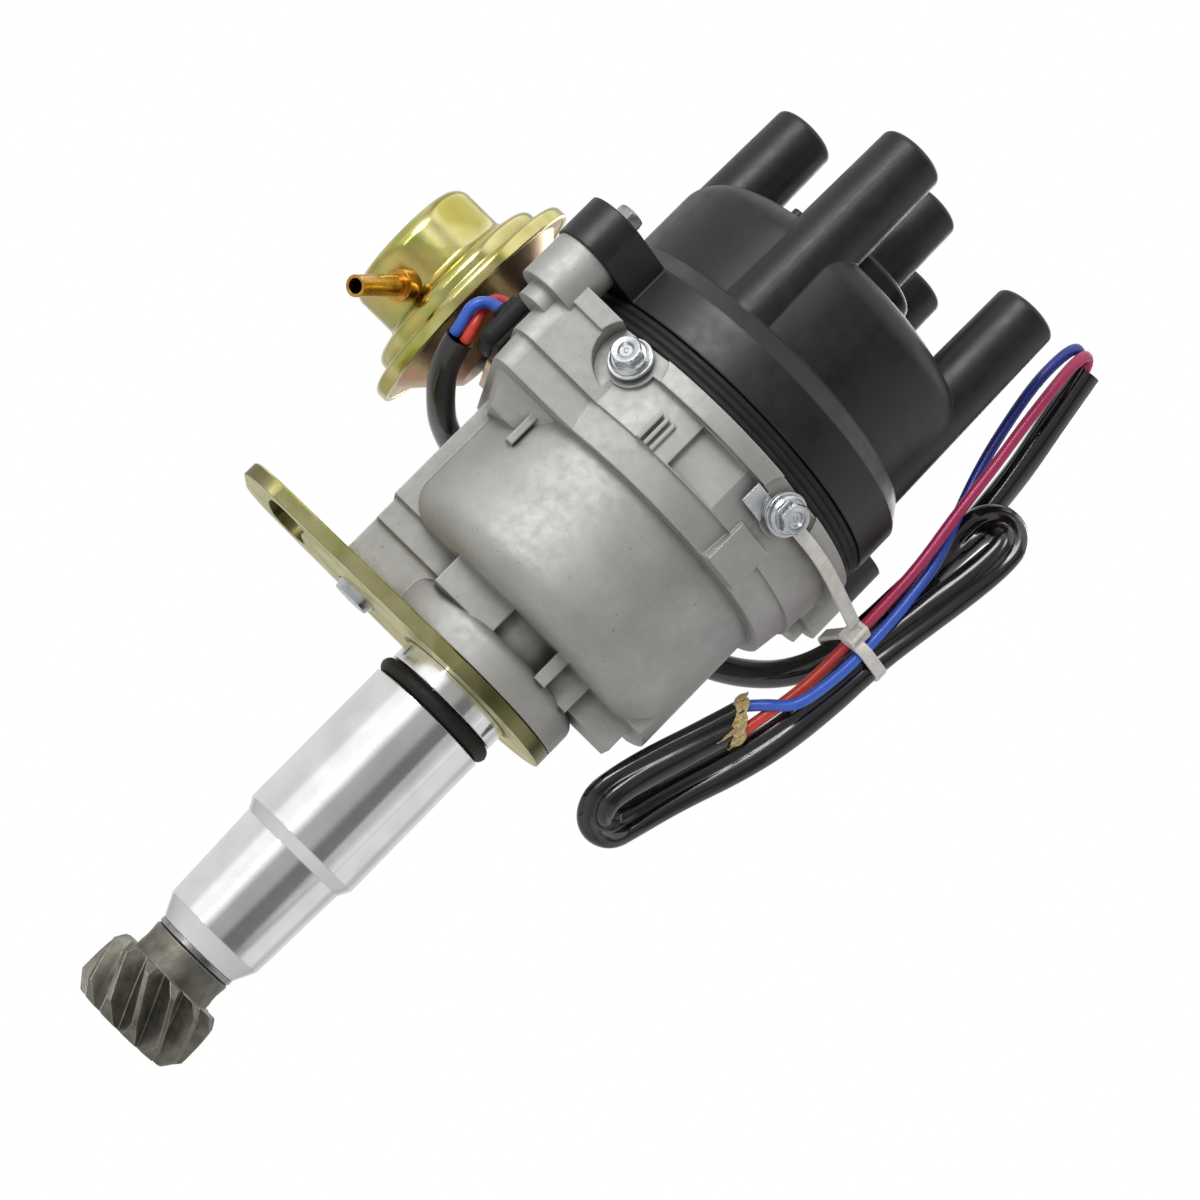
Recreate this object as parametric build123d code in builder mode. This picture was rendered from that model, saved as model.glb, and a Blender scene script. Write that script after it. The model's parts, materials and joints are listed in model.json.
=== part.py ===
from build123d import *
import math
import os

# Ignition distributor: drive gear below, shank, die cast bowl, moulded cap on top.
# Millimetres. +Z runs up the shaft towards the cap. The origin is on the shank's
# axis, at the underside of the mounting plate, which lies on the engine block.
# The photographed front of the body faces -Y and the vacuum unit points along -X.

os.makedirs("parts", exist_ok=True)


def save(part, name):
    """Label a finished sub-part and write it as its own STEP file."""
    part.label = name
    export_step(part, f"parts/{name}.step")


def polar(radius, angle):
    """Plan position at a radius and an angle in degrees from +X."""
    turn = math.radians(angle)
    return (radius * math.cos(turn), radius * math.sin(turn))


# Fits
press_gap = 0.01
running_gap = 0.05
loose_gap = 0.2
seat_gap = 0.05

# Shank and mounting foot
plate_thickness = 3.2
neck_radius = 13.1
shank_radius = 13.5
shank_land_top = -8.3
shank_land_bottom = -43.1
lower_land_radius = 12.15
lower_land_taper = 0.75
shank_end = -71.5
end_round = 4.5
ring_section = 3.6
ring_outer_radius = 14.0
ring_centre = -6.3
plate_lead_in = 0.3
foot_radius = 22.4
foot_height = 8.0

# Shaft, bushes and seal
shaft_radius = 6.0
bush_wall = 2.0
bush_length = 16.0
seal_radius = 10.5
seal_height = 4.0
spindle_radius = 4.5
thrust_washer_thickness = 1.0
thrust_washer_radius = 9.2

# Bowl
bowl_radius = 34.6
bowl_bottom = 17.0
bowl_wall = 3.0
bowl_floor = 4.5
bowl_round = 7.0
ledge_height = 46.2
cavity_radius = 34.0

# Upper ring and flange of the bowl
ring_bottom = 47.4
ring_step = 54.0
ring_radius = 39.3
ring_lower_radius = 37.6
flange_bottom = 64.6
flange_top = 68.7
flange_radius = 41.4
block_left = 39.7
block_front = 34.8
block_back = 33.0
ear_radius = 49.4
ear_angle = 217.5
ear_boss = 7.0
ear_boss_top = 73.6

# Gasket and cap
gasket_top = 73.5
cap_base = 73.6
cap_skirt_radius = 40.8
cap_skirt_top = 82.8
cap_body_radius = 36.4
cap_ledge_top = 87.0
cap_top = 110.0
cap_wall = 3.0
cap_roof = 4.5
cap_shoulder = 7.0
tower_circle = 30.4
tower_first_angle = -107.0
tower_count = 4
tower_top = 134.0
tower_radius = 7.1
tower_base_radius = 7.9
tower_socket = 4.3
tower_socket_depth = 20.0
centre_boss_radius = 12.0
centre_boss_top = 119.5
centre_tower_top = 139.0
centre_tower_radius = 6.9
insert_radius = 2.6
insert_bottom = 88.0
terminal_disc = 0.9
terminal_radius = 3.9
terminal_stem = 1.5
brush_radius = 2.4
brush_top = 104.0
brush_lift = 0.1
brush_tube_bottom = 97.0

# Marks cast on the front of the bowl
pocket_x = 7.6
pocket_width = 16.4
pocket_depth = 1.6
mark_x = -8.0
mark_pitch = 1.6
mark_count = 3
mark_width = 0.8
mark_height = 6.5
mark_proud = 0.5
rib_x = -25.4
rib_width = 1.6
rib_height = 7.5
rib_back = 22.8
rib_proud = 2.8

# Drive gear
gear_teeth = 12
gear_outer_radius = 13.4
gear_root_radius = 9.7
gear_length = 13.5
gear_helix_angle = 32.0
gear_hub_radius = 9.2
gear_hub_length = 6.4
gear_pin_radius = 2.0

# Governor
governor_plate_radius = 25.0
governor_plate_thickness = 2.5
governor_hub_height = 1.9
weight_thickness = 6.0
weight_pivot = (17.0, 7.0)
weight_pivot_radius = 2.0
weight_pivot_boss = 4.2
weight_inner_radius = 8.5
weight_outer_radius = 20.0
weight_swing = 12.9
weight_pin = (-6.0, 13.0)
weight_pin_radius = 1.6
slot_clearance = 0.3
cam_plate_thickness = 2.0
cam_plate_radius = 12.5
spring_post_radius = 1.4
spring_anchor = 23.0
cam_post_circle = 10.0
cam_post_angle = 150.0
governor_spring_radius = 2.1

# Cam sleeve, reluctor and rotor
sleeve_radius = 7.0
sleeve_top = 80.0
reluctor_bottom = 61.0
reluctor_height = 8.0
reluctor_tip = 11.9
rotor_top = 92.0
blade_radius = 27.0
blade_thickness = 1.5
blade_dome = 0.5

# Breaker plate and pickup
base_plate_thickness = 2.0
base_plate_radius = 33.8
window_circle = 21.0
window_count = 3
window_angle = 100.0
window_length = 16.0
window_width = 8.0
collar_radius = 14.5
collar_bore = 12.5
pad_height = 1.0
breaker_thickness = 1.6
breaker_radius = 27.5
retainer_width = 1.0
vacuum_turn = 8.0

# Vacuum unit
vacuum_y = 18.0
vacuum_z = 60.5
nipple_radius = 2.25
nipple_bore = 1.6
nipple_length = 17.5
nipple_angle = 215.0
nipple_lean = 17.0
nipple_x = -64.5
cup_end = -73.2
cup_radius = 15.7
cup_step = -61.0
step_radius = 21.9
step_end = -55.6
rim_radius = 26.8
rim_back = -52.2
shell_sheet = 1.2
dish_end = -44.6
rod_width = 5.0
rod_thickness = 1.6

# Side screws that hold the ignition module
side_screw_angles = (-118.0, -58.0)
side_screw_z = 64.2
side_screw_radius = 2.0
side_seat = 40.1
side_seat_radius = 5.3
side_washer_radius = 4.5
spotface_radius = 7.4
side_head_height = 3.4
washer_stack = 1.9
module_chord = 25.0
module_bottom = 55.0
module_top = 70.0

# Small screws and the lead grommet
plate_screw_place = (-27.5, 6.0)
plate_screw_radius = 2.5
plate_screw_length = 12.0
plate_screw_head_radius = 4.6
plate_screw_head_height = 2.2
plate_screw_recess = 0.4
recess_gap = 0.3
base_screw_radius = 1.6
base_screw_angle = 40.0
bracket_screw_radius = 2.0
bracket_screw_length = 8.0
bracket_screw_offsets = (-15.5, 8.5)
bracket_sheet = 2.0
cap_screw_radius = 2.4
cap_screw_length = 20.0
grommet_y = -12.0
grommet_z = 57.0
grommet_width = 15.0
grommet_height = 14.0
grommet_proud = 5.2
grommet_hole_width = 10.0
grommet_hole_height = 8.0
wall_cut_depth = 16.0

# Leads
sleeve_diameter = 6.0
wire_diameter = 2.4
tape_width = 4.6
tape_thickness = 0.7
boot_length = 11.0
boot_lap = 3.0
boot_wall = 0.5
tab_thickness = 0.4
strap_thickness = 1.0
strap_width = 3.4
strap_bottom = 62.6
loop_bottom = 60.0

# Places worked out from the sizes above
foot_top = plate_thickness + foot_height
floor_top = bowl_bottom + bowl_floor
boss_top = floor_top + seal_height
bush_radius = shaft_radius + bush_wall
passage_radius = shaft_radius + 1.0
bowl_inner_radius = bowl_radius - bowl_wall
washer_top = boss_top + seat_gap + thrust_washer_thickness
governor_plate_bottom = washer_top + seat_gap + governor_hub_height
governor_plate_top = governor_plate_bottom + governor_plate_thickness
weight_bottom = governor_plate_top + loose_gap
weight_top = weight_bottom + weight_thickness
cam_plate_bottom = weight_top + loose_gap
cam_plate_top = cam_plate_bottom + cam_plate_thickness
base_plate_top = ledge_height + base_plate_thickness
breaker_bottom = base_plate_top + pad_height
breaker_top = breaker_bottom + breaker_thickness
tower_angles = [tower_first_angle + 360 / tower_count * n for n in range(tower_count)]
ear_angles = (ear_angle, ear_angle - 180)
ear_places = [polar(ear_radius, angle) for angle in ear_angles]
base_screw_circle = bowl_inner_radius - 0.6
bracket_screw_places = [(vacuum_y + offset, vacuum_z - 3.5) for offset in bracket_screw_offsets]
shoulder = weight_top
gear_bottom = shank_end - 2 * seat_gap - thrust_washer_thickness - gear_hub_length - gear_length
rotor_angle = tower_angles[1]


def side_plane(angle, distance):
    """Plane square to the radial line of a side screw, at a distance from the shaft."""
    return Plane(
        origin=(*polar(distance, angle), side_screw_z),
        x_dir=(*polar(1, angle + 90), 0),
        z_dir=(*polar(1, angle), 0),
    )


def ring(bottom, top, outer, inner):
    """Round washer or tube about the shaft, added to the part in hand."""
    with BuildSketch(Plane.XY.offset(bottom)) as section:
        Circle(outer)
        Circle(inner, mode=Mode.SUBTRACT)
    extrude(section.sketch, amount=top - bottom)


def spring_profile(length, radius, turns):
    """Half section of a close spring along +X: a scalloped wall with one crest a turn."""
    pitch = length / turns
    outer = []
    inner = []
    for turn in range(turns):
        outer += [(turn * pitch, radius - pitch * 0.35), ((turn + 0.5) * pitch, radius)]
        inner += [(turn * pitch, radius - pitch * 0.7), ((turn + 0.5) * pitch, radius - pitch * 0.45)]
    outer.append((length, radius - pitch * 0.35))
    inner.append((length, radius - pitch * 0.7))
    return outer + inner[::-1] + [outer[0]]



# Housing: shank, foot, tower with ribs, bowl, upper ring and flange in one casting
groove_radius = ring_outer_radius - ring_section
groove_half = ring_section / 2 + loose_gap
lower_end_radius = lower_land_radius - lower_land_taper
land_chamfer = 2.5

with BuildPart() as housing:
    with BuildSketch(Plane.XZ):
        with BuildLine():
            Polyline(
                (0, foot_top),
                (0, shank_end),
                (lower_end_radius - end_round / 2, shank_end),
                (lower_end_radius, shank_end + end_round),
                (lower_land_radius, shank_land_bottom - land_chamfer),
                (shank_radius, shank_land_bottom),
                (shank_radius, shank_land_top),
                (groove_radius, shank_land_top),
                (groove_radius, ring_centre + groove_half),
                (neck_radius, ring_centre + groove_half),
                (neck_radius, plate_thickness + seat_gap),
                (foot_radius, plate_thickness + seat_gap),
                (foot_radius, foot_top),
                (0, foot_top),
            )
        make_face()
    revolve(axis=Axis.Z)
    foot_rim = housing.edges().filter_by(GeomType.CIRCLE).filter_by_position(Axis.Z, foot_top - 0.1, foot_top + 0.1)
    fillet(foot_rim, 3.2)
    # Tower between foot and bowl, with the cast blocks and ribs round it
    with BuildSketch(Plane.XY.offset(foot_top - 1)):
        Circle(16.5)
        with Locations((-9.6, -10)):
            Rectangle(14.8, 20.4)
        with Locations((11, -10)):
            Rectangle(2.8, 19.2)
        with Locations((15.2, 0)):
            Rectangle(7, 28)
        with PolarLocations(10, 3, start_angle=60, angular_range=90):
            Rectangle(19, 3)
    extrude(amount=bowl_bottom - foot_top + 4)
    # Bowl
    with BuildSketch(Plane.XY.offset(bowl_bottom)):
        Circle(bowl_radius)
    extrude(amount=ring_bottom - bowl_bottom + 1)
    bowl_rim = (
        housing.edges()
        .filter_by(GeomType.CIRCLE)
        .filter_by_position(Axis.Z, bowl_bottom - 0.1, bowl_bottom + 0.1)
        .sort_by(SortBy.RADIUS)[-1]
    )
    fillet(bowl_rim, bowl_round)
    # Column on the left, stepped back twice below the bowl
    for column_bottom, column_depth, column_left in (
        (bowl_bottom + 0.6, 13.0, bowl_radius + 0.2),
        (12.0, 11.5, bowl_radius - 0.5),
        (plate_thickness + seat_gap, 10.0, bowl_radius - 0.5),
    ):
        with BuildSketch(Plane.XY.offset(column_bottom)):
            with Locations((-(column_left + 15) / 2, 0)):
                Rectangle(column_left - 15, 2 * column_depth)
        extrude(amount=ring_bottom - column_bottom)
    # Pads at the lower right
    with BuildSketch(Plane.XY.offset(bowl_bottom + 0.6)):
        with Locations((25, 0)):
            Rectangle(30, 26)
        Circle(bowl_radius, mode=Mode.INTERSECT)
    extrude(amount=bowl_round + 3)
    with BuildSketch(Plane.XY.offset(foot_top)):
        with Locations((24, -3)):
            Rectangle(12, 15)
    extrude(amount=bowl_bottom - foot_top + 3)
    # Ring round the breaker chamber, squared off at the left
    with BuildSketch(Plane.XY.offset(ring_bottom)):
        Circle(ring_lower_radius)
    extrude(amount=ring_step - ring_bottom, taper=-8)
    with BuildSketch(Plane.XY.offset(ring_step)):
        Circle(ring_radius)
    extrude(amount=flange_bottom - ring_step)
    with BuildSketch(Plane.XY.offset(ring_step)) as block_outline:
        with Locations((-block_left / 2, (block_back - block_front) / 2)):
            RectangleRounded(block_left, block_back + block_front, 5)
    extrude(amount=flange_bottom - ring_step)
    with BuildSketch(Plane.XY.offset(ring_step)):
        with Locations((-block_left / 2, (block_back - block_front) / 2)):
            RectangleRounded(block_left - 1.6, block_back + block_front - 3, 4.5)
    extrude(amount=-(ring_step - ring_bottom), taper=3)
    with BuildSketch(Plane.XY.offset(ring_bottom)):
        with Locations((-block_left / 2 + 1, (block_back - block_front) / 2 + 2)):
            RectangleRounded(block_left - 3, block_back + block_front - 12, 4)
    extrude(amount=-6, taper=35)
    # Round seats for the side screw washers
    for angle in side_screw_angles:
        with BuildSketch(side_plane(angle, cavity_radius + 1)):
            Circle(side_seat_radius)
        extrude(amount=side_seat - cavity_radius - 1)
    with BuildSketch(Plane.XY.offset(flange_top)):
        Circle(ring_radius + 5)
    extrude(amount=side_seat_radius, mode=Mode.SUBTRACT)
    # Flange with the two cap screw lugs
    with BuildSketch(Plane.XY.offset(flange_bottom)):
        Circle(flange_radius)
        with Locations((-block_left / 2 + 0.8, (block_back - block_front) / 2)):
            RectangleRounded(block_left + 1.6, block_back + block_front + 1.6, 5.5)
    extrude(amount=flange_top - flange_bottom)
    for angle in side_screw_angles:
        with BuildSketch(side_plane(angle, side_seat)):
            Circle(spotface_radius)
        extrude(amount=6, mode=Mode.SUBTRACT)
    for lug_x, lug_y in ear_places:
        with BuildSketch(Plane.XY.offset(flange_bottom - 1.5)):
            with Locations((lug_x, lug_y)):
                Circle(ear_boss)
            with Locations((lug_x * 0.86, lug_y * 0.86)):
                Rectangle(2 * ear_boss - 1, 2 * ear_boss - 1, rotation=ear_angle)
        extrude(amount=flange_top - flange_bottom + 1.5)
        with BuildSketch(Plane.XY.offset(flange_top)):
            with Locations((lug_x, lug_y)):
                Circle(ear_boss)
        extrude(amount=ear_boss_top - flange_top - seat_gap)
        with BuildSketch(Plane.XY.offset(flange_bottom - 5)):
            with Locations((lug_x, lug_y)):
                Circle(ear_boss - 2.5)
        extrude(amount=6)
    # Boss under the right hand side screw
    boss_plane = Plane(origin=(0, 0, 47.5), x_dir=(1, 0, 0), z_dir=(0, 0, 1))
    with BuildSketch(boss_plane.rotated((0, 0, side_screw_angles[1]))):
        with Locations((ring_radius - 3, 0)):
            Rectangle(7.4, 9)
    extrude(amount=9.5)
    # Chambers: breaker chamber above the ledge, governor bowl below it
    with BuildSketch(Plane.XY.offset(ledge_height)):
        Circle(cavity_radius)
    extrude(amount=ear_boss_top, mode=Mode.SUBTRACT)
    with BuildSketch(Plane.XZ):
        with BuildLine():
            Polyline(
                (0, ledge_height + 1),
                (0, boss_top),
                (seal_radius + 2, boss_top),
                (seal_radius + 3, floor_top),
                (bowl_inner_radius - 5, floor_top),
                (bowl_inner_radius, floor_top + 5),
                (bowl_inner_radius, ledge_height + 1),
                (0, ledge_height + 1),
            )
        make_face()
    revolve(axis=Axis.Z, mode=Mode.SUBTRACT)
    # Bosses inside the bowl for the three base plate screws
    with BuildSketch(Plane.XY.offset(ledge_height - 9)):
        with PolarLocations(base_screw_circle, 3, start_angle=base_screw_angle):
            Circle(3.4)
        Circle(bowl_inner_radius + 1, mode=Mode.INTERSECT)
    extrude(amount=9)
    # Shaft passage with its bush seats and seal seat
    with BuildSketch(Plane.XY.offset(shank_end - 1)):
        Circle(passage_radius)
    extrude(amount=boss_top - shank_end + 2, mode=Mode.SUBTRACT)
    with BuildSketch(Plane.XY.offset(shank_end - 1)):
        Circle(bush_radius + press_gap)
    extrude(amount=bush_length + 1, mode=Mode.SUBTRACT)
    with BuildSketch(Plane.XY.offset(boss_top - seal_height - bush_length)):
        Circle(bush_radius + press_gap)
    extrude(amount=bush_length + 1, mode=Mode.SUBTRACT)
    with BuildSketch(Plane.XY.offset(boss_top - seal_height)):
        Circle(seal_radius + press_gap)
    extrude(amount=seal_height + 1, mode=Mode.SUBTRACT)
    # Tapped holes for the cap screws
    for lug_x, lug_y in ear_places:
        with BuildSketch(Plane.XY.offset(ear_boss_top)):
            with Locations((lug_x, lug_y)):
                Circle(2.5)
        extrude(amount=-13, mode=Mode.SUBTRACT)
    # Slot for the pull rod and opening for the lead grommet, both in the left wall
    with BuildSketch(Plane.YZ.offset(-block_left - 1)):
        with Locations((vacuum_y, vacuum_z)):
            Rectangle(rod_width + 4, rod_thickness + 4)
        with Locations((grommet_y, grommet_z)):
            Rectangle(grommet_hole_width, grommet_hole_height)
    extrude(amount=wall_cut_depth, mode=Mode.SUBTRACT)
    # Shallow pocket and timing marks on the front
    with BuildSketch(Plane.XZ.offset(ring_radius - pocket_depth)):
        with Locations((pocket_x, (ring_step + flange_bottom) / 2)):
            Rectangle(pocket_width, flange_bottom - ring_step - 0.6)
    extrude(amount=4, mode=Mode.SUBTRACT)
    for mark in range(mark_count):
        with BuildSketch(Plane.XZ.offset(ring_radius - 1)):
            with Locations((mark_x + mark * mark_pitch, ring_step + mark_height / 2)):
                Rectangle(mark_width, mark_height)
        extrude(amount=1 + mark_proud)
    # Short rib under the squared part
    with BuildSketch(Plane.XZ.offset(rib_back)):
        with Locations((rib_x, ledge_height - 0.2 - rib_height / 2)):
            Rectangle(rib_width, rib_height)
    extrude(amount=rib_proud)
    # Holes for the side screws
    for angle in side_screw_angles:
        with BuildSketch(side_plane(angle, side_seat + 1)):
            Circle(side_screw_radius + running_gap)
        extrude(amount=-12, mode=Mode.SUBTRACT)
    # Holes for the plate screw, the screws of the base plate and those of the bracket
    with BuildSketch(Plane.XY):
        with Locations(plate_screw_place):
            Circle(plate_screw_radius + press_gap)
    extrude(amount=plate_screw_length + 1, mode=Mode.SUBTRACT)
    with BuildSketch(Plane.XY.offset(ledge_height)):
        with PolarLocations(base_screw_circle, 3, start_angle=base_screw_angle):
            Circle(base_screw_radius + press_gap)
    extrude(amount=-8, mode=Mode.SUBTRACT)
    with BuildSketch(Plane.YZ.offset(-block_left - 1)):
        with Locations(*bracket_screw_places):
            Circle(bracket_screw_radius + press_gap)
    extrude(amount=bracket_screw_length, mode=Mode.SUBTRACT)
save(housing.part, "housing")

# Mounting plate with the slot that lets the timing be turned
arm_reach = 49.5
arm_corner = 9.0
arm_half = 8.5
slot_circle = 47.5
slot_width = 9.0
slot_sweep = 22.0

with BuildPart() as mounting_plate:
    with BuildSketch() as plate_outline:
        Circle(foot_radius)
        with Locations((-arm_reach, arm_half), (-arm_reach, -arm_half)):
            Circle(arm_corner)
        make_hull()
        Circle(neck_radius + seat_gap, mode=Mode.SUBTRACT)
        with BuildLine(mode=Mode.PRIVATE) as slot_line:
            CenterArc((0, 0), slot_circle, 180 - slot_sweep / 2, slot_sweep)
        SlotArc(slot_line.edge(), slot_width, mode=Mode.SUBTRACT)
        with Locations(plate_screw_place):
            Circle(plate_screw_radius + running_gap, mode=Mode.SUBTRACT)
    extrude(amount=plate_thickness)
    chamfer(mounting_plate.faces().sort_by(Axis.Z)[-1].outer_wire().edges(), 0.4)
    # Lead-in wide enough for the oil ring, and the recess that the screw's head sits in
    hole_edge = mounting_plate.edges().filter_by(GeomType.CIRCLE).filter_by(
        lambda edge: abs(edge.radius - neck_radius - seat_gap) < 0.01 and edge.center().Z < 0.1
    )
    chamfer(hole_edge, ring_outer_radius + plate_lead_in - neck_radius)
    with BuildSketch():
        with Locations(plate_screw_place):
            Circle(plate_screw_head_radius + recess_gap)
    extrude(amount=plate_screw_recess, mode=Mode.SUBTRACT)
save(mounting_plate.part, "mounting_plate")

with BuildPart() as plate_screw:
    with BuildSketch(Plane.XY.offset(plate_screw_recess - 2 * seat_gap)):
        with Locations(plate_screw_place):
            Circle(plate_screw_radius)
    extrude(amount=plate_screw_length - plate_screw_recess)
    with BuildSketch(Plane.XY.offset(plate_screw_recess - seat_gap)):
        with Locations(plate_screw_place):
            Circle(plate_screw_head_radius)
    extrude(amount=-plate_screw_head_height, taper=15)
save(plate_screw.part, "plate_screw")

# Oil seal ring in the shank's groove
with BuildPart() as shank_o_ring:
    with BuildSketch(Plane.XZ):
        with Locations((ring_outer_radius - ring_section / 2 + seat_gap / 2, ring_centre)):
            Circle(ring_section / 2 - seat_gap / 2)
    revolve(axis=Axis.Z)
save(shank_o_ring.part, "shank_o_ring")

# Bushes and lip seal in the casting
with BuildPart() as lower_bush:
    ring(shank_end, shank_end + bush_length, bush_radius, shaft_radius + running_gap)
save(lower_bush.part, "lower_bush")

with BuildPart() as upper_bush:
    upper_bush_bottom = boss_top - seal_height - bush_length
    ring(upper_bush_bottom, upper_bush_bottom + bush_length - seat_gap, bush_radius, shaft_radius + running_gap)
save(upper_bush.part, "upper_bush")

with BuildPart() as oil_seal:
    with BuildSketch(Plane.XZ):
        with BuildLine():
            Polyline(
                (seal_radius, boss_top - seal_height + seat_gap),
                (seal_radius, boss_top),
                (seal_radius - 1.6, boss_top),
                (seal_radius - 1.6, boss_top - seal_height + 1.2),
                (shaft_radius + 1.4, boss_top - seal_height + 1.2),
                (shaft_radius + 0.9, boss_top - 0.6),
                (shaft_radius + running_gap, boss_top - 1.4),
                (shaft_radius + 0.6, boss_top - seal_height + seat_gap),
                (seal_radius, boss_top - seal_height + seat_gap),
            )
        make_face()
    revolve(axis=Axis.Z)
save(oil_seal.part, "oil_seal")

# Main shaft with its thinner spindle for the cam sleeve
spindle_top = 72.3
spindle_hole = 2.0
pin_z = shank_end - 2 * seat_gap - thrust_washer_thickness - gear_hub_length / 2

with BuildPart() as main_shaft:
    with BuildSketch(Plane.XY.offset(gear_bottom - 0.4)):
        Circle(shaft_radius)
    extrude(amount=shoulder - gear_bottom + 0.4)
    with BuildSketch(Plane.XY.offset(shoulder)):
        Circle(spindle_radius)
    extrude(amount=spindle_top - shoulder)
    chamfer(main_shaft.faces().sort_by(Axis.Z)[0].edges(), 0.8)
    with BuildSketch(Plane.XY.offset(spindle_top)):
        Circle(spindle_hole)
    extrude(amount=-10, mode=Mode.SUBTRACT)
    with BuildSketch(Plane.YZ.offset(-gear_outer_radius)):
        with Locations((0, pin_z)):
            Circle(gear_pin_radius + press_gap)
    extrude(amount=2 * gear_outer_radius, mode=Mode.SUBTRACT)
save(main_shaft.part, "main_shaft")

with BuildPart() as thrust_washers:
    lower_washer_top = shank_end - seat_gap
    ring(lower_washer_top - thrust_washer_thickness, lower_washer_top, thrust_washer_radius, shaft_radius + running_gap)
    ring(boss_top + seat_gap, washer_top, thrust_washer_radius, shaft_radius + running_gap)
save(thrust_washers.part, "thrust_washers")

# Helical drive gear, left hand, cut on a hub that is pinned to the shaft
gear_twist = math.degrees(gear_length * math.tan(math.radians(gear_helix_angle)) / gear_outer_radius)
hub_top = gear_bottom + gear_length + gear_hub_length
tooth_pitch = 360 / gear_teeth


def tooth_points(index):
    """Outline of one tooth: root, working flank, crest and the flank back."""
    start = index * tooth_pitch
    flank = (
        (gear_root_radius, 0.04),
        (gear_root_radius + 1.4, 0.24),
        (gear_outer_radius - 1.1, 0.35),
        (gear_outer_radius, 0.44),
    )
    rise = [polar(radius, start + share * tooth_pitch) for radius, share in flank]
    fall = [polar(radius, start + (1.04 - share) * tooth_pitch) for radius, share in flank[::-1]]
    return rise + fall


gear_outline = [point for index in range(gear_teeth) for point in tooth_points(index)]

with BuildSketch() as gear_section:
    with BuildLine():
        Polyline(*gear_outline, close=True)
    make_face()
twisted_teeth = Solid.extrude_linear_with_rotation(
    gear_section.sketch.faces()[0], (0, 0, 0), (0, 0, gear_length), -gear_twist
)

with BuildPart() as drive_gear:
    add(Location((0, 0, gear_bottom)) * twisted_teeth)
    with BuildSketch(Plane.XZ):
        for end, depth, slope in ((gear_bottom, 2.5, 3.0), (gear_bottom + gear_length, 1.5, -2.0)):
            with BuildLine():
                Polyline(
                    (gear_outer_radius - depth, end),
                    (gear_outer_radius + 1, end + slope * (1 + 1 / depth)),
                    (gear_outer_radius + 1, end),
                    close=True,
                )
            make_face()
    revolve(axis=Axis.Z, mode=Mode.SUBTRACT)
    with BuildSketch(Plane.XY.offset(gear_bottom + gear_length)):
        Circle(gear_hub_radius)
    extrude(amount=gear_hub_length)
    chamfer(drive_gear.faces().sort_by(Axis.Z)[-1].edges(), 0.5)
    with BuildSketch(Plane.XY.offset(gear_bottom)):
        Circle(shaft_radius + press_gap)
    extrude(amount=gear_length + gear_hub_length, mode=Mode.SUBTRACT)
    with BuildSketch(Plane.YZ.offset(-gear_outer_radius)):
        with Locations((0, pin_z)):
            Circle(gear_pin_radius + press_gap)
    extrude(amount=2 * gear_outer_radius, mode=Mode.SUBTRACT)
save(drive_gear.part, "drive_gear")

with BuildPart() as gear_pin:
    with BuildSketch(Plane.YZ.offset(-gear_hub_radius + 0.3)):
        with Locations((0, pin_z)):
            Circle(gear_pin_radius)
    extrude(amount=2 * gear_hub_radius - 0.6)
save(gear_pin.part, "gear_pin")

# Governor: plate on the shaft, two swinging weights, springs and the cam plate they turn
spring_z = cam_plate_top + 0.6 + governor_spring_radius
post_top = spring_z + 2.2
opposite = Location((0, 0, 0), (0, 0, 180))

with BuildPart() as governor_plate:
    ring(washer_top + seat_gap, governor_plate_bottom, thrust_washer_radius, shaft_radius + press_gap)
    ring(governor_plate_bottom, governor_plate_top, governor_plate_radius, shaft_radius + press_gap)
    with BuildSketch(Plane.XY.offset(governor_plate_bottom)):
        with Locations((0, governor_plate_radius + 6), (0, -governor_plate_radius - 6)):
            Circle(14)
    extrude(amount=governor_plate_thickness, mode=Mode.SUBTRACT)
    with BuildSketch(Plane.XY.offset(governor_plate_bottom)):
        with Locations((-spring_anchor, 0), (spring_anchor, 0)):
            Circle(spring_post_radius)
    extrude(amount=post_top - governor_plate_bottom)
    with BuildSketch(Plane.XY.offset(governor_plate_bottom)):
        with Locations(weight_pivot, (-weight_pivot[0], -weight_pivot[1])):
            Circle(weight_pivot_radius)
    extrude(amount=weight_top - governor_plate_bottom)
save(governor_plate.part, "governor_plate")

with BuildPart() as governor_weight_1:
    with BuildSketch(Plane.XY.offset(weight_bottom)):
        Circle(weight_outer_radius)
        Circle(weight_inner_radius, mode=Mode.SUBTRACT)
        with Locations((0, -weight_outer_radius + 0.5)):
            Rectangle(3 * weight_outer_radius, 2 * weight_outer_radius, mode=Mode.SUBTRACT)
        with Locations(weight_pivot):
            Circle(weight_pivot_boss)
            Circle(weight_pivot_radius + running_gap, mode=Mode.SUBTRACT)
    extrude(amount=weight_thickness)
    with BuildSketch(Plane.XY.offset(weight_top - 1)):
        with Locations(weight_pin):
            Circle(weight_pin_radius)
    extrude(amount=cam_plate_top - weight_top + 1.4)
save(governor_weight_1.part, "governor_weight_1")

governor_weight_2 = opposite * governor_weight_1.part
save(governor_weight_2, "governor_weight_2")

pin_circle = math.hypot(*weight_pin)
pin_angle = math.degrees(math.atan2(weight_pin[1], weight_pin[0]))
swing = math.radians(-weight_swing)
pin_arm = (weight_pin[0] - weight_pivot[0], weight_pin[1] - weight_pivot[1])
pin_swung = (
    weight_pivot[0] + pin_arm[0] * math.cos(swing) - pin_arm[1] * math.sin(swing),
    weight_pivot[1] + pin_arm[0] * math.sin(swing) + pin_arm[1] * math.cos(swing),
)
pin_circle_swung = math.hypot(*pin_swung)
slot_half = weight_pin_radius + slot_clearance
lobe_reach = pin_circle_swung + slot_half + 2.2

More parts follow.
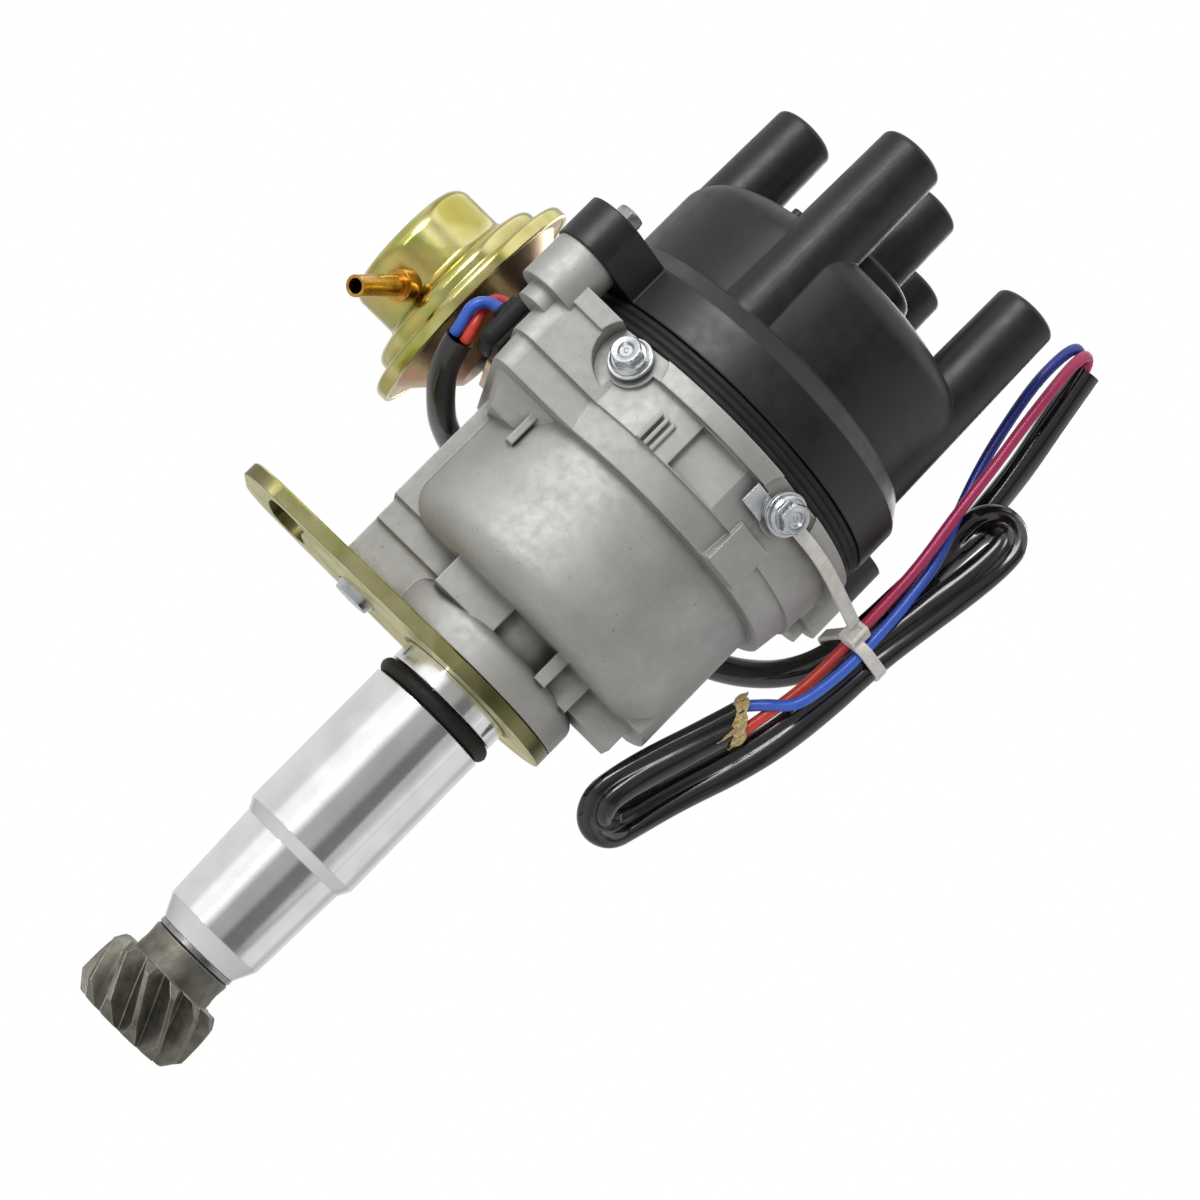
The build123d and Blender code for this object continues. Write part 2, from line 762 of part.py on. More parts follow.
with BuildPart() as cam_sleeve:
    with BuildSketch(Plane.XY.offset(cam_plate_bottom)):
        Circle(cam_plate_radius)
        SlotOverall(2 * lobe_reach, 2 * slot_half + 5, rotation=pin_angle)
        for side in (0, 180):
            slot_centre = polar((pin_circle + pin_circle_swung) / 2, pin_angle + side)
            with Locations(slot_centre):
                SlotCenterToCenter(
                    pin_circle_swung - pin_circle, 2 * slot_half, rotation=pin_angle, mode=Mode.SUBTRACT
                )
    extrude(amount=cam_plate_thickness)
    with BuildSketch(Plane.XY.offset(cam_plate_bottom)):
        Circle(sleeve_radius)
    extrude(amount=sleeve_top - cam_plate_bottom)
    with BuildSketch(Plane.XY.offset(cam_plate_bottom)):
        Circle(spindle_radius + running_gap)
    extrude(amount=sleeve_top - cam_plate_bottom, mode=Mode.SUBTRACT)
    with BuildSketch(Plane.XY.offset(spindle_top - 0.3)):
        Circle(spindle_radius + 1.1)
    extrude(amount=sleeve_top - spindle_top + 1, mode=Mode.SUBTRACT)
    with BuildSketch(Plane.XY.offset(cam_plate_top - 1)):
        with PolarLocations(cam_post_circle, 2, start_angle=cam_post_angle):
            Circle(spring_post_radius)
    extrude(amount=post_top - cam_plate_top + 1)
    with BuildSketch(Plane.XY.offset(reluctor_bottom)):
        with Locations(polar(sleeve_radius, 45)):
            Circle(1 + press_gap)
    extrude(amount=reluctor_height, mode=Mode.SUBTRACT)
save(cam_sleeve.part, "cam_sleeve")

# Springs of the governor: a close coil with an eye at each end
anchor_point = Vector(-spring_anchor, 0, spring_z)
cam_point = Vector(*polar(cam_post_circle, cam_post_angle), spring_z)
spring_line = cam_point - anchor_point
eye_radius = spring_post_radius + loose_gap + 0.8
coil_length = spring_line.length - 2 * eye_radius
coil_plane = Plane(
    origin=anchor_point + spring_line.normalized() * eye_radius, x_dir=spring_line, z_dir=(0, 0, 1)
)

with BuildPart() as spring_half:
    with BuildSketch(coil_plane):
        with BuildLine():
            Polyline(*spring_profile(coil_length, governor_spring_radius, 7))
        make_face()
    revolve(axis=Axis(coil_plane.origin, coil_plane.x_dir))
    with BuildSketch(Plane.XY.offset(spring_z - 0.4)):
        with Locations((anchor_point.X, anchor_point.Y), (cam_point.X, cam_point.Y)):
            Circle(eye_radius + 0.4)
            Circle(spring_post_radius + loose_gap, mode=Mode.SUBTRACT)
    extrude(amount=0.8)
governor_springs = Compound(children=[spring_half.part, opposite * spring_half.part])
save(governor_springs, "governor_springs")

# Screw and oil wick that close the top of the cam sleeve
with BuildPart() as spindle_screw:
    with BuildSketch(Plane.XY.offset(spindle_top + seat_gap)):
        Circle(spindle_radius + 0.6)
    extrude(amount=1.8)
    with BuildSketch(Plane.XY.offset(spindle_top - 9)):
        Circle(spindle_hole - press_gap)
    extrude(amount=9 + seat_gap)
    with BuildSketch(Plane.XY.offset(spindle_top + seat_gap + 1.8)):
        Rectangle(12, 1)
    extrude(amount=-0.8, mode=Mode.SUBTRACT)
save(spindle_screw.part, "spindle_screw")

with BuildPart() as oil_wick:
    wick_bottom = spindle_top + 2 * seat_gap + 1.8
    with BuildSketch(Plane.XY.offset(wick_bottom)):
        Circle(spindle_radius + 1)
    extrude(amount=sleeve_top - wick_bottom - 0.6)
    fillet(oil_wick.faces().sort_by(Axis.Z)[-1].edges(), 0.8)
save(oil_wick.part, "oil_wick")

# Reluctor with one tooth a cylinder, keyed to the sleeve by a rolled pin
with BuildPart() as reluctor:
    ring(reluctor_bottom, reluctor_bottom + reluctor_height, 9.2, sleeve_radius + press_gap)
    with BuildSketch(Plane.XY.offset(reluctor_bottom)):
        Circle(reluctor_tip)
        with PolarLocations(reluctor_tip + 2.2, tower_count, start_angle=45):
            Circle(6.6, mode=Mode.SUBTRACT)
        Circle(sleeve_radius + press_gap, mode=Mode.SUBTRACT)
    extrude(amount=reluctor_height)
    with BuildSketch(Plane.XY.offset(reluctor_bottom)):
        with Locations(polar(sleeve_radius, 45)):
            Circle(1 + press_gap)
    extrude(amount=reluctor_height, mode=Mode.SUBTRACT)
save(reluctor.part, "reluctor")

with BuildPart() as reluctor_pin:
    with BuildSketch(Plane.XY.offset(reluctor_bottom + 0.2)):
        with Locations(polar(sleeve_radius, 45)):
            Circle(1)
            Circle(0.45, mode=Mode.SUBTRACT)
    extrude(amount=reluctor_height - 0.4)
save(reluctor_pin.part, "reluctor_pin")

# Fixed base plate on the ledge, with the collar that guides the breaker plate
with BuildPart() as base_plate:
    with BuildSketch(Plane.XY.offset(ledge_height + seat_gap)):
        Circle(base_plate_radius)
        Circle(collar_bore, mode=Mode.SUBTRACT)
        with PolarLocations(base_screw_circle, 3, start_angle=base_screw_angle):
            Circle(base_screw_radius + running_gap, mode=Mode.SUBTRACT)
    extrude(amount=base_plate_thickness - seat_gap)
    with BuildSketch(Plane.XY.offset(ledge_height + seat_gap)):
        with PolarLocations(window_circle, window_count, start_angle=window_angle):
            SlotOverall(window_length, window_width, rotation=90)
    extrude(amount=base_plate_thickness, mode=Mode.SUBTRACT)
    ring(base_plate_top - 1, breaker_top + 1.7, collar_radius, collar_bore)
save(base_plate.part, "base_plate")

with BuildPart() as base_plate_screws:
    with BuildSketch(Plane.XY.offset(base_plate_top + seat_gap)):
        with PolarLocations(base_screw_circle, 3, start_angle=base_screw_angle):
            Circle(2.7)
    extrude(amount=1.9)
    with BuildSketch(Plane.XY.offset(base_plate_top + seat_gap)):
        with PolarLocations(base_screw_circle, 3, start_angle=base_screw_angle):
            Circle(base_screw_radius)
    extrude(amount=-9)
save(base_plate_screws.part, "base_plate_screws")

with BuildPart() as plate_pads:
    with BuildSketch(Plane.XY.offset(base_plate_top)):
        with PolarLocations(23, 3, start_angle=40):
            Circle(2.6)
    extrude(amount=pad_height - running_gap)
save(plate_pads.part, "plate_pads")

# Breaker plate that the vacuum unit turns, with the post for the pull rod
post_circle = vacuum_y / math.sin(math.radians(90 - vacuum_turn / 2))
post_place = polar(post_circle, 90 - vacuum_turn / 2)
rod_bottom = vacuum_z - rod_thickness / 2
rod_top = vacuum_z + rod_thickness / 2
rod_post_radius = 1.5

with BuildPart() as breaker_plate:
    ring(breaker_bottom, breaker_top, breaker_radius, collar_radius + running_gap)
    with BuildSketch(Plane.XY.offset(breaker_top)):
        with Locations(post_place):
            Circle(rod_post_radius + 0.7)
    extrude(amount=rod_bottom - loose_gap - breaker_top)
    with BuildSketch(Plane.XY.offset(breaker_top)):
        with Locations(post_place):
            Circle(rod_post_radius)
    extrude(amount=rod_top + 2.2 - breaker_top)
save(breaker_plate.part, "breaker_plate")

with BuildPart() as plate_retainer:
    ring(breaker_top + 2 * running_gap, breaker_top + 1, collar_radius + retainer_width, collar_radius + press_gap)
    with BuildSketch(Plane.XY.offset(breaker_top)):
        with Locations(polar(collar_radius + 1, -60)):
            Rectangle(5, 4, rotation=-60)
    extrude(amount=2, mode=Mode.SUBTRACT)
save(plate_retainer.part, "plate_retainer")

# Pickup: bracket, iron core facing the reluctor, coil and magnet
pickup_z = reluctor_bottom + reluctor_height / 2
pickup_gap = 0.45
core_face = reluctor_tip + pickup_gap
bracket_wall = 23.5
bracket_thickness = 1.8
core_half_width = 1.7
core_half_height = 2.2

with BuildPart() as pickup_bracket:
    with BuildSketch(Plane.XY.offset(breaker_top)):
        with Locations((21, 0)):
            RectangleRounded(8.6, 18, 2)
    extrude(amount=1.6)
    with BuildSketch(Plane.YZ.offset(bracket_wall)):
        with Locations((0, (breaker_top + pickup_z + 4) / 2)):
            Rectangle(13, pickup_z + 4 - breaker_top)
        with Locations((0, pickup_z)):
            Rectangle(2 * core_half_width + 0.1, 2 * core_half_height + 0.1, mode=Mode.SUBTRACT)
    extrude(amount=bracket_thickness)
save(pickup_bracket.part, "pickup_bracket")

with BuildPart() as pickup_core:
    with BuildSketch(Plane.YZ.offset(core_face)):
        with Locations((0, pickup_z)):
            Rectangle(2 * core_half_width, 2 * core_half_height)
    extrude(amount=bracket_wall + bracket_thickness - core_face)
save(pickup_core.part, "pickup_core")

with BuildPart() as pickup_coil:
    with BuildSketch(Plane.YZ.offset(core_face + 2.2)):
        with Locations((0, pickup_z)):
            Circle(6)
    extrude(amount=bracket_wall - core_face - 2.4)
    with BuildSketch(Plane.YZ.offset(core_face + 3.4)):
        with Locations((0, pickup_z)):
            Circle(6.5)
            Circle(5.3, mode=Mode.SUBTRACT)
    extrude(amount=bracket_wall - core_face - 4.8, mode=Mode.SUBTRACT)
    with BuildSketch(Plane.YZ.offset(core_face)):
        with Locations((0, pickup_z)):
            Rectangle(2 * core_half_width + 0.1, 2 * core_half_height + 0.1)
    extrude(amount=bracket_wall, mode=Mode.SUBTRACT)
save(pickup_coil.part, "pickup_coil")

with BuildPart() as pickup_magnet:
    with BuildSketch(Plane.YZ.offset(bracket_wall + bracket_thickness + seat_gap)):
        with Locations((0, pickup_z)):
            Rectangle(8, 7)
    extrude(amount=3)
save(pickup_magnet.part, "pickup_magnet")

# Ignition module against the front wall, held by the two side screws
module_middle = sum(side_screw_angles) / 2
module_plane = Plane.XY.offset(module_bottom).rotated((0, 0, module_middle))

with BuildPart() as ignition_module:
    with BuildSketch(module_plane):
        Circle(cavity_radius - seat_gap)
        with Locations((module_chord - cavity_radius, 0)):
            Rectangle(2 * cavity_radius, 3 * cavity_radius, mode=Mode.SUBTRACT)
    extrude(amount=module_top - module_bottom)
    fillet(ignition_module.edges().filter_by(Axis.Z), 1.2)
    for angle in side_screw_angles:
        with BuildSketch(side_plane(angle, cavity_radius + 1)):
            Circle(side_screw_radius + press_gap)
        extrude(amount=-5, mode=Mode.SUBTRACT)
save(ignition_module.part, "ignition_module")

with BuildPart() as side_screws:
    for angle in side_screw_angles:
        seat = side_seat + washer_stack + seat_gap
        with BuildSketch(side_plane(angle, seat)):
            Circle(side_screw_radius)
        extrude(amount=cavity_radius - 3.8 - seat)
        with BuildSketch(side_plane(angle, seat)):
            Circle(3.9)
        extrude(amount=1)
        with BuildSketch(side_plane(angle, seat + 1)):
            RegularPolygon(3.3, 6)
        extrude(amount=side_head_height - 1)
        with BuildSketch(side_plane(angle, seat + side_head_height)):
            Circle(1.9)
        extrude(amount=-1, mode=Mode.SUBTRACT)
save(side_screws.part, "side_screws")

with BuildPart() as side_screw_washers:
    for angle in side_screw_angles:
        with BuildSketch(side_plane(angle, side_seat + washer_stack)):
            Circle(side_washer_radius)
            Circle(side_screw_radius + 0.2, mode=Mode.SUBTRACT)
        extrude(amount=-0.8)
    with BuildSketch(side_plane(side_screw_angles[0], side_seat + seat_gap)):
        Circle(side_washer_radius - 0.7)
        Circle(side_screw_radius + 0.2, mode=Mode.SUBTRACT)
    extrude(amount=1)
save(side_screw_washers.part, "side_screw_washers")

# Rotor arm on the cam sleeve, with its blade
rotor_bottom = 74.0
arm_bottom = 84.0
blade_bottom = rotor_top - blade_thickness
rotor_plane = Plane.XY.rotated((0, 0, rotor_angle))

with BuildPart() as rotor_arm:
    ring(rotor_bottom, sleeve_top + 0.3, 10.2, sleeve_radius + press_gap)
    with BuildSketch(Plane.XY.offset(sleeve_top + 0.3)):
        Circle(10.2)
    extrude(amount=blade_bottom - seat_gap - sleeve_top - 0.3)
    with BuildSketch(rotor_plane.offset(arm_bottom)):
        with Locations((9, 0)):
            RectangleRounded(26, 10, 3)
        with Locations((-8, 0)):
            RectangleRounded(14, 13, 3)
    extrude(amount=blade_bottom - seat_gap - arm_bottom)
    with BuildSketch(rotor_plane.offset(arm_bottom - 5)):
        with Locations((11, 0)):
            Rectangle(8, 2)
    extrude(amount=6)
save(rotor_arm.part, "rotor_arm")

with BuildPart() as rotor_blade:
    with BuildSketch(rotor_plane.offset(blade_bottom)):
        with Locations((blade_radius / 2 - 3, 0)):
            Rectangle(blade_radius + 6, 5.6)
        with Locations((blade_radius - 3, 0)):
            Rectangle(5.6, 9)
        Circle(blade_radius, mode=Mode.INTERSECT)
    extrude(amount=blade_thickness)
    with BuildSketch(Plane.XY.offset(rotor_top)):
        Circle(3.2)
    extrude(amount=blade_dome, taper=30)
save(rotor_blade.part, "rotor_blade")

# Gasket ring between bowl and cap
gasket_outer = cap_skirt_radius - 0.3
gasket_inner = cavity_radius + 2

with BuildPart() as cap_gasket:
    ring(flange_top + seat_gap, gasket_top, gasket_outer, gasket_inner)
    for groove_z in (flange_top + 1.3, gasket_top - 1.3):
        with BuildSketch(Plane.XZ):
            with Locations((gasket_outer, groove_z)):
                Circle(0.45)
        revolve(axis=Axis.Z, mode=Mode.SUBTRACT)
save(cap_gasket.part, "cap_gasket")

# Cap: skirt with two ears, body, four towers on a circle and the centre tower
tower_bottom = cap_skirt_top - 1
roof_underside = cap_top - cap_roof
socket_floor = tower_top - tower_socket_depth
centre_socket_floor = centre_tower_top - tower_socket_depth - terminal_disc

with BuildPart() as cap:
    with BuildSketch(Plane.XZ):
        with BuildLine():
            Polyline(
                (0, cap_base),
                (cap_skirt_radius, cap_base),
                (cap_skirt_radius, cap_skirt_top),
                (cap_body_radius + 1.5, cap_ledge_top),
                (cap_body_radius, cap_ledge_top + 0.4),
                (cap_body_radius, cap_top),
                (0, cap_top),
                (0, cap_base),
            )
        make_face()
    revolve(axis=Axis.Z)
    shoulder_edge = (
        cap.edges().filter_by(GeomType.CIRCLE).filter_by_position(Axis.Z, cap_top - 0.1, cap_top + 0.1)
    )
    fillet(shoulder_edge, cap_shoulder)
    # Raised boss and the centre tower on it
    with BuildSketch(Plane.XY.offset(cap_top - 1)):
        Circle(centre_boss_radius + 0.4)
    extrude(amount=centre_boss_top - cap_top + 1, taper=2)
    fillet(cap.faces().sort_by(Axis.Z)[-1].edges(), 1.6)
    with BuildSketch(Plane.XY.offset(centre_boss_top - 1)):
        Circle(centre_tower_radius + 0.3)
    extrude(amount=centre_tower_top - centre_boss_top + 1, taper=0.9)
    fillet(cap.faces().sort_by(Axis.Z)[-1].edges(), 1.2)
    # Plug lead towers, drafted, standing on the skirt's ledge and fused to the body
    with BuildSketch(Plane.XY.offset(tower_bottom)):
        with PolarLocations(tower_circle, tower_count, start_angle=tower_first_angle):
            Circle(tower_base_radius)
    extrude(
        amount=tower_top - tower_bottom,
        taper=math.degrees(math.atan((tower_base_radius - tower_radius) / (tower_top - tower_bottom))),
    )
    tower_tops = cap.faces().filter_by_position(Axis.Z, tower_top - 0.1, tower_top + 0.1)
    fillet(tower_tops.edges(), 1.2)
    # Vent nub
    with BuildSketch(Plane.XY.offset(cap_top - 3)):
        with Locations((-17, -18)):
            Circle(1.5)
    extrude(amount=6)
    # Ears for the cap screws
    for ear_x, ear_y in ear_places:
        with BuildSketch(Plane.XY.offset(cap_base)):
            with Locations((ear_x, ear_y)):
                Circle(ear_boss + 0.5)
            with Locations((ear_x * 0.87, ear_y * 0.87)):
                Rectangle(2 * ear_boss + 1, 2 * ear_boss + 1, rotation=ear_angle)
        extrude(amount=cap_skirt_top - cap_base)
    # Hollow inside, with the tube that guides the brush
    with BuildSketch(Plane.XY.offset(cap_base)):
        Circle(cap_body_radius - cap_wall)
    extrude(amount=roof_underside - cap_base, mode=Mode.SUBTRACT)
    with BuildSketch(Plane.XY.offset(brush_tube_bottom)):
        Circle(5)
    extrude(amount=roof_underside - brush_tube_bottom + 1)
    # Lead sockets, insert holes, brush bore and screw holes
    with BuildSketch(Plane.XY.offset(socket_floor)):
        with PolarLocations(tower_circle, tower_count, start_angle=tower_first_angle):
            Circle(tower_socket)
    extrude(amount=tower_socket_depth, mode=Mode.SUBTRACT)
    with BuildSketch(Plane.XY.offset(roof_underside)):
        with PolarLocations(tower_circle, tower_count, start_angle=tower_first_angle):
            Circle(insert_radius + press_gap)
    extrude(amount=socket_floor - roof_underside, mode=Mode.SUBTRACT)
    with BuildSketch(Plane.XY.offset(centre_socket_floor)):
        Circle(terminal_radius + press_gap)
    extrude(amount=terminal_disc, mode=Mode.SUBTRACT)
    with BuildSketch(Plane.XY.offset(centre_socket_floor + terminal_disc)):
        Circle(tower_socket)
    extrude(amount=tower_socket_depth, mode=Mode.SUBTRACT)
    with BuildSketch(Plane.XY.offset(brush_tube_bottom)):
        Circle(brush_radius + running_gap)
    extrude(amount=centre_socket_floor - brush_tube_bottom, mode=Mode.SUBTRACT)
    with BuildSketch(Plane.XY.offset(cap_base)):
        with Locations(*ear_places):
            Circle(cap_screw_radius + 0.2)
    extrude(amount=cap_skirt_top - cap_base, mode=Mode.SUBTRACT)
save(cap.part, "cap")

with BuildPart() as cap_screws:
    for place in ear_places:
        with BuildSketch(Plane.XY.offset(cap_skirt_top + seat_gap)):
            with Locations(place):
                Circle(cap_screw_radius)
        extrude(amount=-cap_screw_length)
        with BuildSketch(Plane.XY.offset(cap_skirt_top + seat_gap)):
            with Locations(place):
                Circle(4.6)
        extrude(amount=1)
        with BuildSketch(Plane.XY.offset(cap_skirt_top + seat_gap + 1)):
            with Locations(place):
                RegularPolygon(3.9, 6)
        extrude(amount=3)
        with BuildSketch(Plane.XY.offset(cap_skirt_top + seat_gap + 4)):
            with Locations(place):
                Circle(2.2)
        extrude(amount=-1, mode=Mode.SUBTRACT)
save(cap_screws.part, "cap_screws")

# Terminals moulded in the towers, flush with the sockets' floors
with BuildPart() as tower_inserts:
    with BuildSketch(Plane.XY.offset(insert_bottom)):
        with PolarLocations(tower_circle, tower_count, start_angle=tower_first_angle):
            Circle(insert_radius)
    extrude(amount=socket_floor - insert_bottom)
    fillet(tower_inserts.faces().filter_by(Axis.Z).group_by(Axis.Z)[0].edges(), 0.8)
save(tower_inserts.part, "tower_inserts")

with BuildPart() as centre_terminal:
    with BuildSketch(Plane.XY.offset(centre_socket_floor + seat_gap)):
        Circle(terminal_radius)
    extrude(amount=terminal_disc - 2 * seat_gap)
    with BuildSketch(Plane.XY.offset(centre_socket_floor - terminal_stem)):
        Circle(brush_radius)
    extrude(amount=terminal_stem + seat_gap)
save(centre_terminal.part, "centre_terminal")

# Carbon brush and its spring in the roof's tube
brush_bottom = rotor_top + blade_dome + brush_lift
with BuildPart() as carbon_brush:
    with BuildSketch(Plane.XY.offset(brush_bottom)):
        Circle(brush_radius)
    extrude(amount=brush_top - brush_bottom)
    fillet(carbon_brush.faces().sort_by(Axis.Z)[0].edges(), 0.8)
save(carbon_brush.part, "carbon_brush")

brush_spring_length = centre_socket_floor - terminal_stem - brush_top - 2 * seat_gap
with BuildPart() as brush_spring:
    with BuildSketch(Plane((0, 0, brush_top + seat_gap), x_dir=(0, 0, 1), z_dir=(0, 1, 0))):
        with BuildLine():
            Polyline(*spring_profile(brush_spring_length, brush_radius - 0.1, 9))
        make_face()
    revolve(axis=Axis.Z)
save(brush_spring.part, "brush_spring")

# Vacuum unit: pressed front shell, rear shell with its bracket, diaphragm, spring, rod
vacuum_plane = Plane(origin=(0, vacuum_y, vacuum_z), x_dir=(1, 0, 0), z_dir=(0, -1, 0))
vacuum_line = Axis((0, vacuum_y, vacuum_z), (1, 0, 0))
diaphragm_thickness = 0.8
diaphragm_front = step_end + shell_sheet + seat_gap
diaphragm_back = diaphragm_front + diaphragm_thickness
inner_rim = rim_radius - shell_sheet
flange_disc = inner_rim - seat_gap
nipple_turn = math.radians(nipple_angle)
lean = math.radians(nipple_lean)
nipple_direction = Vector(
    -math.sin(lean),
    math.cos(lean) * math.cos(nipple_turn),
    math.cos(lean) * math.sin(nipple_turn),
)
nipple_root = Vector(
    nipple_x,
    vacuum_y + cup_radius * math.cos(nipple_turn),
    vacuum_z + cup_radius * math.sin(nipple_turn),
)
nipple_plane = Plane(nipple_root, z_dir=nipple_direction)

with BuildPart() as vacuum_front_shell:
    with BuildSketch(vacuum_plane):
        with BuildLine():
            Polyline(
                (cup_end, 0),
                (cup_end, cup_radius - 4.5),
                (cup_end + 1.3, cup_radius - 1.5),
                (cup_end + 4.2, cup_radius),
                (cup_step, cup_radius),
                (cup_step + 0.6, cup_radius + 3),
                (cup_step + 2.2, step_radius - 0.8),
                (cup_step + 4, step_radius),
                (step_end - 0.4, step_radius),
                (step_end, step_radius + 0.5),
                (step_end, rim_radius - 0.6),
                (step_end + 0.6, rim_radius),
                (rim_back, rim_radius),
                (rim_back, inner_rim),
                (step_end + shell_sheet, inner_rim),
                (step_end + shell_sheet, step_radius - shell_sheet),
                (cup_step + 4.3, step_radius - shell_sheet),
                (cup_step + 3, step_radius - 2),
                (cup_step + 1.6, cup_radius + 1),
                (cup_step + 0.8, cup_radius - shell_sheet),
                (cup_end + 4.4, cup_radius - shell_sheet),
                (cup_end + 2.2, cup_radius - 2.4),
                (cup_end + shell_sheet, cup_radius - 5),
                (cup_end + shell_sheet, 0),
                (cup_end, 0),
            )
        make_face()
    revolve(axis=vacuum_line)
    with BuildSketch(nipple_plane):
        Circle(nipple_radius + press_gap)
    extrude(amount=4, both=True, mode=Mode.SUBTRACT)
save(vacuum_front_shell.part, "vacuum_front_shell")

with BuildPart() as vacuum_nipple:
    with BuildSketch(nipple_plane.offset(-2)):
        Circle(nipple_radius + 1.1)
    extrude(amount=5)
    with BuildSketch(vacuum_plane):
        with Locations((nipple_x, (cup_radius + seat_gap) / 2)):
            Rectangle(20, cup_radius + seat_gap)
    revolve(axis=vacuum_line, mode=Mode.SUBTRACT)
    with BuildSketch(nipple_plane.offset(-2)):
        Circle(nipple_radius)
    extrude(amount=nipple_length + 2)
    with BuildSketch(nipple_plane.offset(-3)):
        Circle(nipple_bore)
    extrude(amount=nipple_length + 4, mode=Mode.SUBTRACT)
save(vacuum_nipple.part, "vacuum_nipple")

bracket_back = -block_left - seat_gap
bracket_front = bracket_back - bracket_sheet
rod_hole = 4.6
neck_outer = 5.6
with BuildPart() as vacuum_rear_shell:
    with BuildSketch(vacuum_plane):
        with BuildLine():
            Polyline(
                (diaphragm_back + seat_gap, flange_disc),
                (diaphragm_back + seat_gap, flange_disc - 3.6),
                (dish_end, 13),
                (dish_end, rod_hole),
                (bracket_front, rod_hole),
                (bracket_front, neck_outer),
                (dish_end + shell_sheet, neck_outer),
                (dish_end + shell_sheet, 13.4),
                (rim_back - 0.3, flange_disc - 2.4),
                (rim_back - 0.3, flange_disc),
                (diaphragm_back + seat_gap, flange_disc),
            )
        make_face()
    revolve(axis=vacuum_line)
    with BuildSketch(Plane.YZ.offset(bracket_front)):
        with Locations((vacuum_y - 3.2, vacuum_z - 3)):
            RectangleRounded(32, 12.5, 3)
        with Locations((vacuum_y, vacuum_z)):
            Circle(neck_outer)
            Circle(rod_hole, mode=Mode.SUBTRACT)
        with Locations(*bracket_screw_places):
            Circle(bracket_screw_radius + 0.15, mode=Mode.SUBTRACT)
    extrude(amount=bracket_sheet)
save(vacuum_rear_shell.part, "vacuum_rear_shell")

with BuildPart() as vacuum_screws:
    with BuildSketch(Plane.YZ.offset(bracket_front - seat_gap)):
        with Locations(*bracket_screw_places):
            Circle(3.4)
    extrude(amount=-1.3)
    with BuildSketch(Plane.YZ.offset(bracket_front - seat_gap)):
        with Locations(*bracket_screw_places):
            Circle(bracket_screw_radius)
    extrude(amount=bracket_screw_length)
save(vacuum_screws.part, "vacuum_screws")

stem_radius = 1.6
with BuildPart() as diaphragm:
    with BuildSketch(vacuum_plane):
        with BuildLine():
            Polyline(
                (diaphragm_front, flange_disc),
                (diaphragm_front, flange_disc - 5),
                (diaphragm_front - 1.6, flange_disc - 7),
                (diaphragm_front, flange_disc - 9),
                (diaphragm_front, stem_radius + seat_gap),
                (diaphragm_back, stem_radius + seat_gap),
                (diaphragm_back, flange_disc - 8.6),
                (diaphragm_back - 1.6, flange_disc - 7),
                (diaphragm_back, flange_disc - 5.4),
                (diaphragm_back, flange_disc),
                (diaphragm_front, flange_disc),
            )
        make_face()
    revolve(axis=vacuum_line)
save(diaphragm.part, "diaphragm")

rod_eye_radius = 3.4
with BuildPart() as pull_rod:
    with BuildSketch(vacuum_plane):
        with BuildLine():
            Polyline(
                (diaphragm_front - 1.3, 0),
                (diaphragm_front - 1.3, 11),
                (diaphragm_front - seat_gap, 11),
                (diaphragm_front - seat_gap, stem_radius),
                (diaphragm_back + seat_gap, stem_radius),
                (diaphragm_back + seat_gap, 9),
                (diaphragm_back + 1, 9),
                (diaphragm_back + 1, stem_radius),
                (dish_end, stem_radius),
                (dish_end, 0),
                (diaphragm_front - 1.3, 0),
            )
        make_face()
    revolve(axis=vacuum_line)
    with BuildSketch(Plane.XY.offset(rod_bottom)):
        with Locations(((diaphragm_back + 3 + post_place[0]) / 2, vacuum_y)):
            Rectangle(post_place[0] - diaphragm_back - 3, rod_width)
        with Locations(post_place):
            Circle(rod_eye_radius)
            Circle(rod_post_radius + 0.12, mode=Mode.SUBTRACT)
    extrude(amount=rod_thickness)
save(pull_rod.part, "pull_rod")

with BuildPart() as rod_clip:
    with BuildSketch(Plane.XY.offset(rod_top + 0.15)):
        with Locations(post_place):
            Circle(2.9)
            Circle(rod_post_radius + press_gap, mode=Mode.SUBTRACT)
    extrude(amount=0.7)
save(rod_clip.part, "rod_clip")

spring_front = cup_end + shell_sheet + seat_gap
spring_back = diaphragm_front - 1.3 - seat_gap
with BuildPart() as diaphragm_spring:
    with BuildSketch(Plane((spring_front, vacuum_y, vacuum_z), x_dir=(1, 0, 0), z_dir=(0, -1, 0))):
        with BuildLine():
            Polyline(*spring_profile(spring_back - spring_front, 8, 7))
        make_face()
    revolve(axis=vacuum_line)
save(diaphragm_spring.part, "diaphragm_spring")

# Rubber grommet where the leads leave the left wall
grommet_face = -block_left - grommet_proud
with BuildPart() as lead_grommet:
    with BuildSketch(Plane.YZ.offset(grommet_face)):
        with Locations((grommet_y, grommet_z + 0.3)):
            RectangleRounded(grommet_width, grommet_height, 3)
    extrude(amount=grommet_proud - seat_gap)
    chamfer(lead_grommet.faces().sort_by(Axis.X)[0].edges(), 0.8)
    with BuildSketch(Plane.YZ.offset(grommet_face + 1)):
        with Locations((grommet_y, grommet_z)):
            Rectangle(grommet_hole_width - 2 * seat_gap, grommet_hole_height - 2 * seat_gap)
    extrude(amount=9)
save(lead_grommet.part, "lead_grommet")


